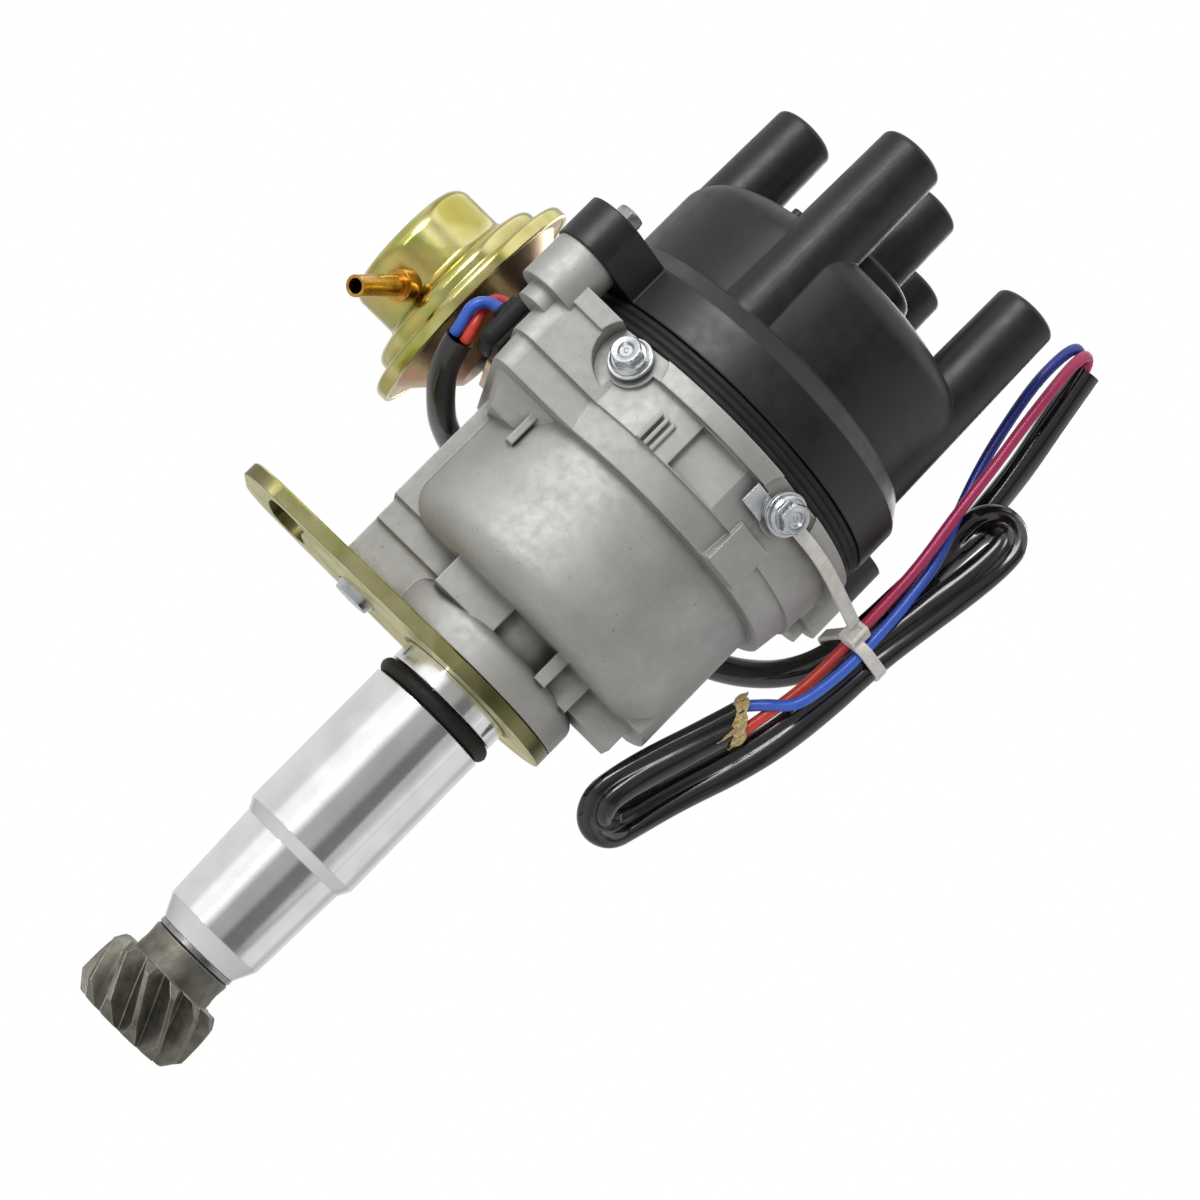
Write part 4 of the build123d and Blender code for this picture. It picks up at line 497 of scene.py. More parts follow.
def sleeving():
    """Soft black vinyl: glossy, with shallow waves and a little dust in them."""
    material, tree, shader, place = start("black_sleeve", Coat_Weight=0.8, Coat_Roughness=0.08)
    tint = ramp(tree, speckle(tree, place, 2.2, 5), (0.45, "#060607"), (0.78, "#161617"))
    shine = ramp(tree, speckle(tree, place, 4, 4), (0.3, 0.14), (0.7, 0.28))
    finish(tree, shader, tint, shine, bump(tree, speckle(tree, place, 5, 2), 0.1))
    return material


def nylon():
    material, tree, shader, place = start("natural_nylon", Subsurface_Weight=0.25, Subsurface_Scale=0.001)
    tint = ramp(tree, speckle(tree, place, 2.5, 3), (0.3, "#D9D7CE"), (0.7, "#ECEAE3"))
    shine = ramp(tree, speckle(tree, place, 1.2, 3), (0.3, 0.34), (0.7, 0.48))
    finish(tree, shader, tint, shine, bump(tree, speckle(tree, place, 0.5), 0.012, soften(tree, 0.2)))
    return material


def paper_tape():
    """Tan crepe tape: fibre, cross wrinkles and dark handled patches."""
    material, tree, shader, place = start("tan_tape")
    fibre = speckle(tree, place, 0.7, 4, (1, 1, 3))
    tint = ramp(tree, fibre, (0.25, "#8C7240"), (0.5, "#C9B078"), (0.75, "#EBDDB8"))
    shine = ramp(tree, fibre, (0.3, 0.55), (0.7, 0.75))
    finish(tree, shader, tint, shine, bump(tree, speckle(tree, place, 0.9, 3, (1, 1, 2.5)), 0.12))
    return material


def felt():
    material, tree, shader, place = start("felt", Roughness=0.95, Sheen_Weight=0.4)
    tint = ramp(tree, speckle(tree, place, 0.5, 5), (0.3, "#8C8574"), (0.7, "#C9C2B0"))
    finish(tree, shader, tint, None, bump(tree, speckle(tree, place, 0.25, 4), 0.12))
    return material


ZINC_TINTS = ("#C2B862", "#DDD393", "#BBBA66", "#D3C073")
PINK_TINTS = ("#D2A488", "#C9B27C", "#D8B49A", "#C8A06E")
FINISHES = {
    "cast_aluminium": cast_aluminium(),
    "yellow_zinc": plated("yellow_zinc", ZINC_TINTS, (0.13, 0.24)),
    "pink_zinc": plated("pink_zinc", PINK_TINTS, (0.26, 0.4)),
    # The mounting plate's finish carries painted shade on its upright side faces.
    "shaded_rim_zinc": plated("shaded_rim_zinc", ZINC_TINTS, (0.28, 0.42), shaded_rim=True),
    "zinc_steel": ground_metal("zinc_steel", "#B6BABD", "#DADDDF", 0.24),
    "hardened_steel": ground_metal("hardened_steel", "#8B8C8F", "#A9AAAC", 0.26),
    "sintered_steel": ground_metal(
        "sintered_steel", "#6A6860", "#8A887D", 0.45, 0.3, 0.02, 0.35, "#B9B7AD", 0.5
    ),
    "bronze": ground_metal("bronze", "#8A6738", "#B28B4F", 0.38, 0.3, 0.01),
    "yellow_brass": ground_metal("yellow_brass", "#B07C2C", "#DDAE55", 0.22, worn_and_highlight_tint="#F3D894"),
    "terminal_aluminium": ground_metal("terminal_aluminium", "#C4C5C7", "#E3E4E5", 0.25),
    "black_rubber": moulded("black_rubber", "#0C0C0D", "#1A1A1B", (0.5, 0.7), 0.4, 0.02, 0.3, 0.4),
    "black_cap": moulded("black_cap", "#131416", "#1C1D1F", (0.34, 0.46), 0.6, 0.012, 0.7),
    "black_moulding": moulded("black_moulding", "#131314", "#202022", (0.4, 0.55), 0.5, 0.012),
    "natural_nylon": nylon(),
    "black_sleeve": sleeving(),
    "red_insulation": insulation("red_insulation", "#E2462F", "#B7285C", (50, 75)),
    "blue_insulation": insulation("blue_insulation", "#3C6BDC", "#26379C", (60, 110)),
    "tan_tape": paper_tape(),
    "felt": felt(),
    "carbon": moulded("carbon", "#1E1F20", "#2C2D2E", (0.45, 0.6), 0.3, 0.02, 0.15),
}
OTHER_FINISH = {"vacuum_rear_shell": "pink_zinc", "mounting_plate": "shaded_rim_zinc"}


def dress(obj, finish_name):
    obj.data.materials.clear()
    obj.data.materials.append(FINISHES[finish_name])


def dress_frame():
    """Every CAD node gets the finish that its slot in the record names, or the one that OTHER_FINISH gives it
    instead.
    """
    for row in frame["record"]["subparts"]:
        node = row["node"]
        dress(frame["nodes"][node], OTHER_FINISH.get(node, row["material_slot"]))


# Tools for new pieces

def pick(*pieces):
    """Selects these pieces and nothing else, and makes the first one active."""
    bpy.ops.object.select_all(action="DESELECT")
    for piece in pieces:
        piece.select_set(True)
    bpy.context.view_layer.objects.active = pieces[0]


def open_piece(obj):
    """Opens one piece for editing, with nothing selected in it."""
    pick(obj)
    bpy.ops.object.mode_set(mode="EDIT")
    bpy.ops.mesh.select_mode(type="VERT")
    bpy.ops.mesh.select_all(action="DESELECT")


def close_piece():
    bpy.ops.object.mode_set(mode="OBJECT")


def pick_faces(obj, wanted, mode="VERT"):
    """Selects the faces of the open piece that a test on their middle and normal picks out."""
    bpy.ops.mesh.select_mode(type="FACE")
    bpy.ops.mesh.select_all(action="DESELECT")
    bpy.ops.object.mode_set(mode="OBJECT")
    for face in obj.data.polygons:
        face.select = bool(wanted(face.center, face.normal))
    bpy.ops.object.mode_set(mode="EDIT")
    bpy.ops.mesh.select_mode(type=mode)


def apply_modifier(obj, kind, **settings):
    pick(obj)
    made = obj.modifiers.new(kind.lower(), kind)
    for name, value in settings.items():
        setattr(made, name, value)
    bpy.ops.object.modifier_apply(modifier=made.name)


def round_edges(obj, width, segments, angle):
    """Rounds the edges that turn by more than an angle."""
    limit = math.radians(angle)
    apply_modifier(
        obj, "BEVEL", width=width * MM, segments=segments, limit_method="ANGLE", angle_limit=limit
    )


def smooth(obj, angle=32):
    pick(obj)
    bpy.ops.object.shade_smooth_by_angle(angle=math.radians(angle))


def turned_piece(name, profile, steps=72, sweep=360):
    """Spins a closed profile of (radius, height) points round the Z axis."""
    mesh = bpy.data.meshes.new(name)
    count = len(profile)
    corners = [(radius * MM, 0, height * MM) for radius, height in profile]
    mesh.from_pydata(corners, [(n, (n + 1) % count) for n in range(count)], [])
    obj = bpy.data.objects.new(name, mesh)
    bpy.context.scene.collection.objects.link(obj)
    open_piece(obj)
    bpy.ops.mesh.select_all(action="SELECT")
    bpy.ops.mesh.spin(steps=steps, angle=math.radians(sweep), center=(0, 0, 0), axis=(0, 0, 1))
    bpy.ops.mesh.select_all(action="SELECT")
    bpy.ops.mesh.remove_doubles(threshold=0.002 * MM)
    if sweep < 360:
        bpy.ops.mesh.select_all(action="DESELECT")
        bpy.ops.mesh.select_non_manifold()
        bpy.ops.mesh.edge_face_add()
        bpy.ops.mesh.select_all(action="SELECT")
    bpy.ops.mesh.normals_make_consistent(inside=False)
    close_piece()
    return obj


def put(obj, origin, outward):
    """Moves a mesh that was made along +Z to its place in the row frame, facing outward."""
    turn = Vector(outward).to_track_quat("Z", "Y").to_matrix().to_4x4()
    obj.data.transform(Matrix.Translation(Vector(origin) * MM) @ turn)


def join(name, pieces, body, finish_name, *nodes):
    """One piece from several meshes, dressed, riding on a body and standing for CAD nodes."""
    pick(*pieces)
    if len(pieces) > 1:
        bpy.ops.object.join()
    made = bpy.context.view_layer.objects.active
    made.name = name
    settle(made, body, finish_name, *nodes)
    return made


def settle(obj, body, finish_name, *nodes):
    dress(obj, finish_name)
    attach(obj, body)
    if nodes:
        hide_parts(*nodes)


# Leads

def route(name, points):
    """The smooth line of a lead, as a curve whose control points are the route's points."""
    curve = bpy.data.curves.new(name, "CURVE")
    curve.dimensions = "3D"
    curve.resolution_u = 24
    spline = curve.splines.new("NURBS")
    spline.points.add(len(points) - 1)
    for point, place in zip(spline.points, points):
        point.co = (*[part * MM for part in place], 1)
    spline.order_u = 3
    spline.use_endpoint_u = True
    return curve


def line_along(points):
    """Points read from a route's curve, in order, as an array."""
    holder = bpy.data.objects.new("line", route("line", points))
    bpy.context.scene.collection.objects.link(holder)
    read = bpy.data.meshes.new_from_object(holder)
    line = np.array([vertex.co for vertex in read.vertices])
    bpy.data.objects.remove(holder)
    return line


def evenly(line, step):
    """The line again, with points a step apart in millimetres."""
    gone = np.concatenate(([0], np.cumsum(np.linalg.norm(np.diff(line, axis=0), axis=1))))
    count = max(2, int(gone[-1] / (step * MM)))
    at = np.linspace(0, gone[-1], count)
    return np.column_stack([np.interp(at, gone, line[:, n]) for n in range(3)]), at / MM


def frames_along(line, side, held=False):
    """Tangent and two cross directions at each point, turned as little as can be, or held facing the side."""
    tangents = np.gradient(line, axis=0)
    tangents /= np.linalg.norm(tangents, axis=1)[:, None]
    first = np.array(side, float)
    across = []
    for tangent in tangents:
        first = np.array(side, float) if held else first
        first = first - tangent * first.dot(tangent)
        first /= np.linalg.norm(first)
        across.append(first)
    across = np.array(across)
    return tangents, across, np.cross(tangents, across)


def swept_mesh(name, line, side, outline, closed_ends=False, held=False):
    """Sweeps an outline along a line; outline(point index) is an array of (across, up, forward) in metres."""
    forward, across, up = frames_along(line, side, held)
    rings = []
    for n, point in enumerate(line):
        aside, above, ahead = outline(n).T[:, :, None]
        rings.append(point + aside * across[n] + above * up[n] + ahead * forward[n])
    around = len(rings[0])
    faces = []
    for row in range(0, (len(rings) - 1) * around, around):
        for n in range(around):
            after = (n + 1) % around
            faces.append((row + n, row + after, row + around + after, row + around + n))
    if closed_ends:
        faces.append(tuple(range(around))[::-1])
        faces.append(tuple((len(rings) - 1) * around + n for n in range(around)))
    mesh = bpy.data.meshes.new(name)
    mesh.from_pydata(np.concatenate(rings).tolist(), [], faces)
    obj = bpy.data.objects.new(name, mesh)
    bpy.context.scene.collection.objects.link(obj)
    return obj


def sleeve(name, points, step, around, squeeze, slant=0.0):
    """An open-ended sleeve round a route; squeeze(distance, angle) is the share of its radius there.

    Slant is how far its mouth is cut back for each unit across.
    """
    line, gone = evenly(line_along(points), step)
    angles = np.linspace(0, 2 * math.pi, around, endpoint=False)
    radius = SLEEVE_DIAMETER / 2 * MM

    def outline(n):
        reach = radius * squeeze(gone[n], angles)
        level = reach * np.sin(angles)
        return np.column_stack((reach * np.cos(angles), level, -slant * level * max(0.0, 1 - gone[n] / 9)))

    obj = swept_mesh(name, line, (0, -1, 0), outline, held=slant > 0)
    apply_modifier(obj, "SOLIDIFY", thickness=SLEEVE_WALL * MM, offset=-1)
    smooth(obj, 60)
    return obj, line


def near(distance, middle, width):
    return np.exp(-(((distance - middle) / width) ** 2))


def plain_squeeze(distance, angles):
    """Slight waves of a sleeve that was drawn by hand over its wires."""
    return 1 + 0.018 * np.sin(distance / 9 + 2 * angles) + 0.012 * np.sin(distance / 3.7 + 3 * angles)


TOP_FOLD_AT = 150.5
LOW_FOLD_AT = 40
MOUTH_SLANT = 0.8


def crumpled_squeeze(distance, angles):
    """The tail sleeve is pressed flat, its faces sink in along its length, and its two folds are creased."""
    fold = near(distance, TOP_FOLD_AT, 15) + near(distance, LOW_FOLD_AT, 11)
    flat = 0.25 * min(1.0, max(0.0, (TAIL_SLEEVE_LENGTH - 5 - distance) / 9))
    shape = 1 - flat * np.cos(2 * angles)
    for face, drift in ((0.0, 0.5 * math.sin(distance / 17)), (math.pi, 0.4 * math.sin(distance / 13 + 1))):
        off = np.angle(np.exp(1j * (angles - face - drift)))
        shape -= (0.5 * flat + 0.2 * fold) * np.exp(-((off / 0.42) ** 2))
    shape += 0.11 * fold * (np.abs(np.sin(3 * angles + distance / 6)) ** 0.7 - 0.6)
    return shape + 0.018 * np.sin(3 * angles + distance / 11) + 0.012 * np.sin(2 * angles + distance / 4.3)


def wire(name, points, finish_name, node):
    curve = route(name, points)
    curve.bevel_depth = WIRE_DIAMETER / 2 * MM
    curve.bevel_resolution = 6
    curve.use_fill_caps = True
    obj = bpy.data.objects.new(name, curve)
    bpy.context.scene.collection.objects.link(obj)
    settle(obj, "body", finish_name, node)
    return obj


def tape_round_mouth(line):
    """A torn strip of thin tape round the tail sleeve's slanted mouth, with its loose end hanging down."""
    along = Vector(line[8] - line[0]).normalized()
    across = Vector((0, -1, 0)) - along * along.dot(Vector((0, -1, 0)))
    across.normalize()
    up = along.cross(across)
    steps = 190
    rows = 9
    round_steps = 150
    points = []
    for n in range(steps + 1):
        angle = 2 * math.pi * 1.12 * min(n, round_steps) / round_steps - 1.2
        loose = max(0, n - round_steps) / (steps - round_steps)
        ridge = 0.16 * math.sin(9.3 * angle) + 0.1 * math.sin(21.1 * angle + 1)
        ridge += 0.25 * loose * math.sin(11 * loose)
        squeezed = crumpled_squeeze(4, np.array([angle]))[0]
        reach = SLEEVE_DIAMETER / 2 * squeezed + 0.2 + 0.3 * n / steps + ridge
        reach += 2.2 * loose
        level = reach * math.sin(angle)
        for row in range(rows):
            share = row / (rows - 1)
            ragged = 0.3 * math.sin(7.1 * angle + 9 * loose) * (1 - share)
            ragged += 0.35 * math.sin(5.3 * angle + 2) * share
            depth = -0.7 + 3.1 * share * (1 - 0.5 * loose) + ragged - MOUTH_SLANT * level * 0.85 + 5.5 * loose
            swell = 0.16 * math.sin(math.pi * share * 2 + angle * 2.7)
            side = across * (reach + swell) * math.cos(angle) + up * (reach + swell) * math.sin(angle)
            points.append(Vector(line[0]) + (along * depth + side) * MM)
    faces = [
        (n * rows + row, n * rows + row + 1, (n + 1) * rows + row + 1, (n + 1) * rows + row)
        for n in range(steps)
        for row in range(rows - 1)
    ]
    mesh = bpy.data.meshes.new("tape")
    mesh.from_pydata(points, [], faces)
    obj = bpy.data.objects.new("mouth_tape", mesh)
    bpy.context.scene.collection.objects.link(obj)
    apply_modifier(obj, "SOLIDIFY", thickness=0.12 * MM, offset=0)
    smooth(obj, 50)
    settle(obj, "body", "tan_tape", "tape_collar")
    return obj


def boot_at_end(line):
    """Dipped boot that closes the tail sleeve's far end, with a rolled lip."""
    along = Vector(line[-1] - line[-8]).normalized()
    outer = SLEEVE_DIAMETER / 2 + 0.55
    bore = SLEEVE_DIAMETER / 2 + 0.05
    profile = [
        (bore, -3), (bore + 0.25, -3.25), (outer + 0.15, -3.1), (outer + 0.15, -2.5), (outer, -2.2),
        (outer, 6.6), (outer - 0.25, 7.4), (outer - 0.9, 7.9), (0.4, 8.0), (0.4, 7.2), (bore - 0.3, 6.9),
        (bore, 6.4), (bore, 0.1),
    ]
    obj = turned_piece("end_boot_dipped", profile, 48)
    put(obj, line[-1] / MM, along)
    smooth(obj, 40)
    settle(obj, "body", "black_rubber", "end_boot")
    return obj


def make_leads():
    lead, line = sleeve("lead_sleeve_drawn", LEAD_SLEEVE_ROUTE, 0.8, 36, plain_squeeze)
    settle(lead, "body", "black_sleeve", "lead_sleeve")
    tail, line = sleeve("tail_sleeve_folded", TAIL_SLEEVE_ROUTE, 0.6, 72, crumpled_squeeze, MOUTH_SLANT)
    settle(tail, "body", "black_sleeve", "tail_sleeve")
    tape = tape_round_mouth(line)
    boot = boot_at_end(line)
    for colour, points, length in (
        ("red", RED_WIRE_ROUTE, RED_WIRE_LENGTH),
        ("blue", BLUE_WIRE_ROUTE, BLUE_WIRE_LENGTH),
    ):
        lead = wire(f"{colour}_wire_drawn", points, f"{colour}_insulation", f"{colour}_wire")
    wire("red_lead_in_drawn", RED_LEAD_IN_ROUTE, "red_insulation", "red_lead_in")
    wire("blue_lead_in_drawn", BLUE_LEAD_IN_ROUTE, "blue_insulation", "blue_lead_in")


# Screws and washers

def hex_head(name, corner, height, dish_radius, dish_depth):
    """Hexagon head standing on z = 0, with a turned chamfer and a pressed dish."""
    bpy.ops.object.select_all(action="DESELECT")
    bpy.ops.mesh.primitive_cylinder_add(
        vertices=96, radius=corner * MM, depth=height * MM, location=(0, 0, height / 2 * MM)
    )
    obj = bpy.context.object
    obj.name = name
    bpy.ops.object.transform_apply(location=True)
    flat = corner * math.cos(math.radians(30))
    chamfer_circle = flat * 0.97
    open_piece(obj)
    bpy.ops.mesh.select_all(action="SELECT")
    bpy.ops.mesh.bisect(plane_co=(0, 0, (height - 0.35) * MM), plane_no=(0, 0, 1))
    pick_faces(obj, lambda middle, normal: normal.z > 0.9)
    bpy.ops.mesh.inset(thickness=(corner - dish_radius) * MM)
    bpy.ops.mesh.inset(thickness=0.3 * MM, depth=-0.12 * MM)
    bpy.ops.mesh.inset(thickness=0.35 * MM, depth=(0.12 - dish_depth) * MM)
    bpy.ops.mesh.inset(thickness=dish_radius * 0.35 * MM, depth=0)
    bpy.ops.mesh.inset(thickness=dish_radius * 0.15 * MM, depth=0.18 * MM)
    close_piece()
    for vertex in obj.data.vertices:
        x, y, z = vertex.co
        reach = math.hypot(x, y)
        if reach < (corner - 0.02) * MM:
            continue
        angle = math.atan2(y, x)
        within = (math.degrees(angle) + 30) % 60 - 30
        side = flat / math.cos(math.radians(within)) * MM
        if z > (height - 0.01) * MM:
            side = chamfer_circle * MM
        elif z > 0.01 * MM:
            vertex.co.z -= (side - flat * MM) * 0.6
        vertex.co.x *= side / reach
        vertex.co.y *= side / reach
    return obj


def thread_profile(radius, top, bottom, pitch):
    """Half outline of a threaded shank from its head down, on the radius side."""
    points = []
    height = top
    while height - pitch > bottom:
        points += [(radius, height), (radius - pitch * 0.45, height - pitch / 2)]
        height -= pitch
    return points + [(radius, height), (radius - 0.4, bottom), (0.05, bottom)]


def flange_screw(name, flange, corner, shank, length, height):
    """Hexagon screw with a rolled flange; its seat is at z = 0 and its shank points down."""
    rim = 0.35
    flange_profile = [
        (0.05, 0), (flange - 0.2, 0), (flange, 0.12), (flange, rim), (flange - 0.25, rim + 0.2),
        (corner + 0.1, 1.0), (corner - 0.6, 1.05), (0.05, 1.05),
    ]
    plate = turned_piece(name + "_flange", flange_profile, 96)
    stem = turned_piece(name + "_stem", [(0.05, 0)] + thread_profile(shank, -0.05, -length, 0.8), 48)
    head = hex_head(name + "_head", corner, height - 1, 1.9, 0.7)
    head.data.transform(Matrix.Translation((0, 0, 1 * MM)))
    for piece in (plate, stem, head):
        smooth(piece, 28)
    return [plate, stem, head]


def outward(angle):
    return Vector((math.cos(math.radians(angle)), math.sin(math.radians(angle)), 0))


def at_side_screw(angle, distance):
    return outward(angle) * distance + Vector((0, 0, SIDE_SCREW_HEIGHT))


def make_side_screws():
    seat = SIDE_SEAT + WASHER_STACK
    screws = []
    washers = []
    for angle in SIDE_SCREW_ANGLES:
        pieces = flange_screw("side_screw", 3.9, 3.3, 2.0, seat - 31, 3.4)
        for piece in pieces:
            put(piece, at_side_screw(angle, seat), outward(angle))
        screws += pieces
        outer = WASHER_RADIUS
        top = WASHER_THICKNESS
        flat_washer = [
            (2.2, 0.08), (2.28, 0), (outer - 0.12, 0), (outer, 0.14), (outer, top - 0.14),
            (outer - 0.12, top), (2.28, top), (2.2, top - 0.08),
        ]
        washer = turned_piece("washer", flat_washer, 96)
        smooth(washer, 28)
        put(washer, at_side_screw(angle, seat - top - 0.02), outward(angle))
        washers.append(washer)
    spring = turned_piece("spring_washer", [(2.2, 0.02), (3.75, 0.02), (3.75, 0.98), (2.2, 0.98)], 90, 352)
    apply_modifier(spring, "BEVEL", width=0.08 * MM, segments=2)
    smooth(spring, 28)
    put(spring, at_side_screw(SIDE_SCREW_ANGLES[0], SIDE_SEAT + 0.02), outward(SIDE_SCREW_ANGLES[0]))
    washers.append(spring)
    join("side_screws_turned", screws, "body", "zinc_steel", "side_screws")
    join("side_washers_pressed", washers, "body", "zinc_steel", "side_screw_washers")


CAP_EAR_RADIUS = 49.4
CAP_EAR_ANGLES = (217.5, 37.5)
CAP_SKIRT_TOP = 82.85


def make_cap_screws():
    screws = []
    for angle in CAP_EAR_ANGLES:
        pieces = flange_screw("cap_screw", 3.9, 3.1, 2.4, 20, 3.2)
        for piece in pieces:
            put(piece, outward(angle) * CAP_EAR_RADIUS + Vector((0, 0, CAP_SKIRT_TOP)), (0, 0, 1))
        screws += pieces
    join("cap_screws_turned", screws, "body", "hardened_steel", "cap_screws")


# Seal ring, gasket and grommet

SEAL_RADIUS = 14.0
SEAL_SECTION = 1.8
SEAL_HEIGHT = -6.3


def make_seal_ring():
    """Rubber ring in the shank's groove, with the fine flash line of its mould."""
    middle = SEAL_RADIUS - SEAL_SECTION
    profile = []
    for n in range(28):
        angle = 2 * math.pi * n / 28
        flash = 0.06 if n == 0 else 0
        radius = middle + (SEAL_SECTION + flash) * math.cos(angle)
        profile.append((radius, SEAL_HEIGHT + SEAL_SECTION * math.sin(angle)))
    ring = turned_piece("seal_ring_moulded", profile, 128)
    smooth(ring, 60)
    settle(ring, "body", "black_rubber", "shank_o_ring")


GASKET_HEIGHTS = (68.75, 73.5)
GASKET_RADII = (36.0, 40.5)


def make_gasket():
    """Rubber gasket between bowl and cap: three rounded beads on its outside, flat above and below."""
    low, high = GASKET_HEIGHTS
    inner, outer = GASKET_RADII
    bead = (high - low) / 3
    profile = [(inner, low), (outer - 0.55, low)]
    for n in range(3):
        for angle in range(-75, 76, 15):
            rise = math.sin(math.radians(angle)) * bead / 2 * 0.96
            profile.append((outer - 0.5 + 0.5 * math.cos(math.radians(angle)), low + bead * (n + 0.5) + rise))
    profile += [(outer - 0.55, high), (inner, high)]
    gasket = turned_piece("cap_gasket_moulded", profile, 180)
    smooth(gasket, 35)
    settle(gasket, "body", "black_rubber", "cap_gasket")


GROMMET_OUT = -44.9
GROMMET_WALL = -39.75
GROMMET_MIDDLE = (-12.0, 57.3)
GROMMET_SIZE = (15.0, 14.0)
GROMMET_PLUG = (9.9, 7.9)
GROMMET_PLUG_END = -34.9


def block(name, low, high, bevel):
    """A box between two corners in millimetres, with rounded edges."""
    bpy.ops.object.select_all(action="DESELECT")
    bpy.ops.mesh.primitive_cube_add(size=1)
    made = bpy.context.object
    made.name = name
    size = [(b - a) * MM for a, b in zip(low, high)]
    middle = Vector([(a + b) / 2 * MM for a, b in zip(low, high)])
    made.data.transform(Matrix.Translation(middle) @ Matrix.Diagonal((*size, 1)))
    apply_modifier(made, "BEVEL", width=bevel * MM, segments=4)
    return made


def make_grommet():
    """Rubber grommet: a rounded face, a waist at the wall, its plug, and a collar for each lead."""
    y, z = GROMMET_MIDDLE
    wide, tall = [part / 2 for part in GROMMET_SIZE]
    low, high = (GROMMET_OUT, y - wide, z - tall), (GROMMET_WALL - 1.2, y + wide, z + tall)
    face = block("grommet_face", low, high, 1.6)
    waist = block(
        "grommet_waist", (GROMMET_WALL - 1.8, y - wide + 0.9, z - tall + 0.9),
        (GROMMET_WALL, y + wide - 0.9, z + tall - 0.9), 0.5,
    )
    wide, tall = [part / 2 for part in GROMMET_PLUG]
    low, high = (GROMMET_WALL - 1, y - wide, z - 0.3 - tall), (GROMMET_PLUG_END, y + wide, z - 0.3 + tall)
    plug = block("grommet_plug", low, high, 0.4)
    pieces = [face, waist, plug]
    for route_points in (RED_LEAD_IN_ROUTE, BLUE_LEAD_IN_ROUTE):
        ring = [(1.22, -0.5), (2.2, -0.5), (2.1, 0.9), (1.8, 1.2), (1.22, 1.2)]
        collar = turned_piece("grommet_collar", ring, 40)
        put(collar, route_points[0], (-1, 0, 0))
        pieces.append(collar)
    for piece in pieces:
        smooth(piece, 40)
    join("lead_grommet_moulded", pieces, "body", "black_rubber", "lead_grommet")


# Vacuum unit's front shell

VACUUM_AT = (18.0, 60.5)
CUP_END = -73.2
CUP_RADIUS = 15.7
CUP_STEP = -61.0
STEP_RADIUS = 21.9
STEP_END = -55.6
RIM_RADIUS = 26.8
RIM_BACK = -52.2
SHEET = 1.2


def rounded(corners, steps=7):
    """Points of a line through corners of (radius, height, round), with an arc at each."""
    points = []
    count = len(corners)
    for n, (radius, height, bend) in enumerate(corners):
        if bend == 0:
            points.append((radius, height))
            continue
        here = Vector((radius, height))
        before = (Vector(corners[n - 1][:2]) - here).normalized()
        after = (Vector(corners[(n + 1) % count][:2]) - here).normalized()
        half = before.angle(after) / 2
        middle = here + (before + after).normalized() * (bend / math.sin(half))
        first = here + before * (bend / math.tan(half)) - middle
        last = here + after * (bend / math.tan(half)) - middle
        for step in range(steps + 1):
            share = step / steps
            toward = first.lerp(last, share).normalized() * bend
            points.append(tuple(middle + toward))
    return points


def make_vacuum_shell():
    """Pressed front half of the vacuum unit, with a rolled rim crimped over the rear half."""
    inner_rim = RIM_RADIUS - SHEET
    corners = [
        (0.05, CUP_END, 0), (CUP_RADIUS, CUP_END, 3.4), (CUP_RADIUS, CUP_STEP + 0.3, 1.6),
        (STEP_RADIUS, CUP_STEP + 1.9, 2.0), (STEP_RADIUS, STEP_END, 0.7), (RIM_RADIUS, STEP_END, 1.4),
        (RIM_RADIUS, RIM_BACK, 0.5), (inner_rim, RIM_BACK, 0.3), (inner_rim, STEP_END + SHEET, 0.5),
        (STEP_RADIUS - SHEET, STEP_END + SHEET, 0.9), (STEP_RADIUS - SHEET, CUP_STEP + 3.1, 0.9),
        (CUP_RADIUS - SHEET, CUP_STEP + 1.5, 1.4), (CUP_RADIUS - SHEET, CUP_END + SHEET, 2.3),
        (0.05, CUP_END + SHEET, 0),
    ]
    profile = [(radius, -height) for radius, height in rounded(corners)]
    shell = turned_piece("vacuum_shell_pressed", profile, 144)
    put(shell, (0, *VACUUM_AT), (-1, 0, 0))
    smooth(shell, 38)
    settle(shell, "body", "yellow_zinc", "vacuum_front_shell")


# Cable tie

TIE_BUNDLE = (((50.5, 12.2), 3.9), ((49.6, -2.2), 1.7), ((52.6, -3.3), 1.7), ((55.2, 0.9), 3.4))
TIE_STRAP_LINE = [(25.69, -32.24), (29.84, -30.76), (35.6, -25.0), (41.2, -16.4), (45.6, -9.2), (47.8, -5.6)]
TIE_HEAD_AT = (49.3, -5.0)
TIE_HEAD_SIZE = (4.0, 3.6)


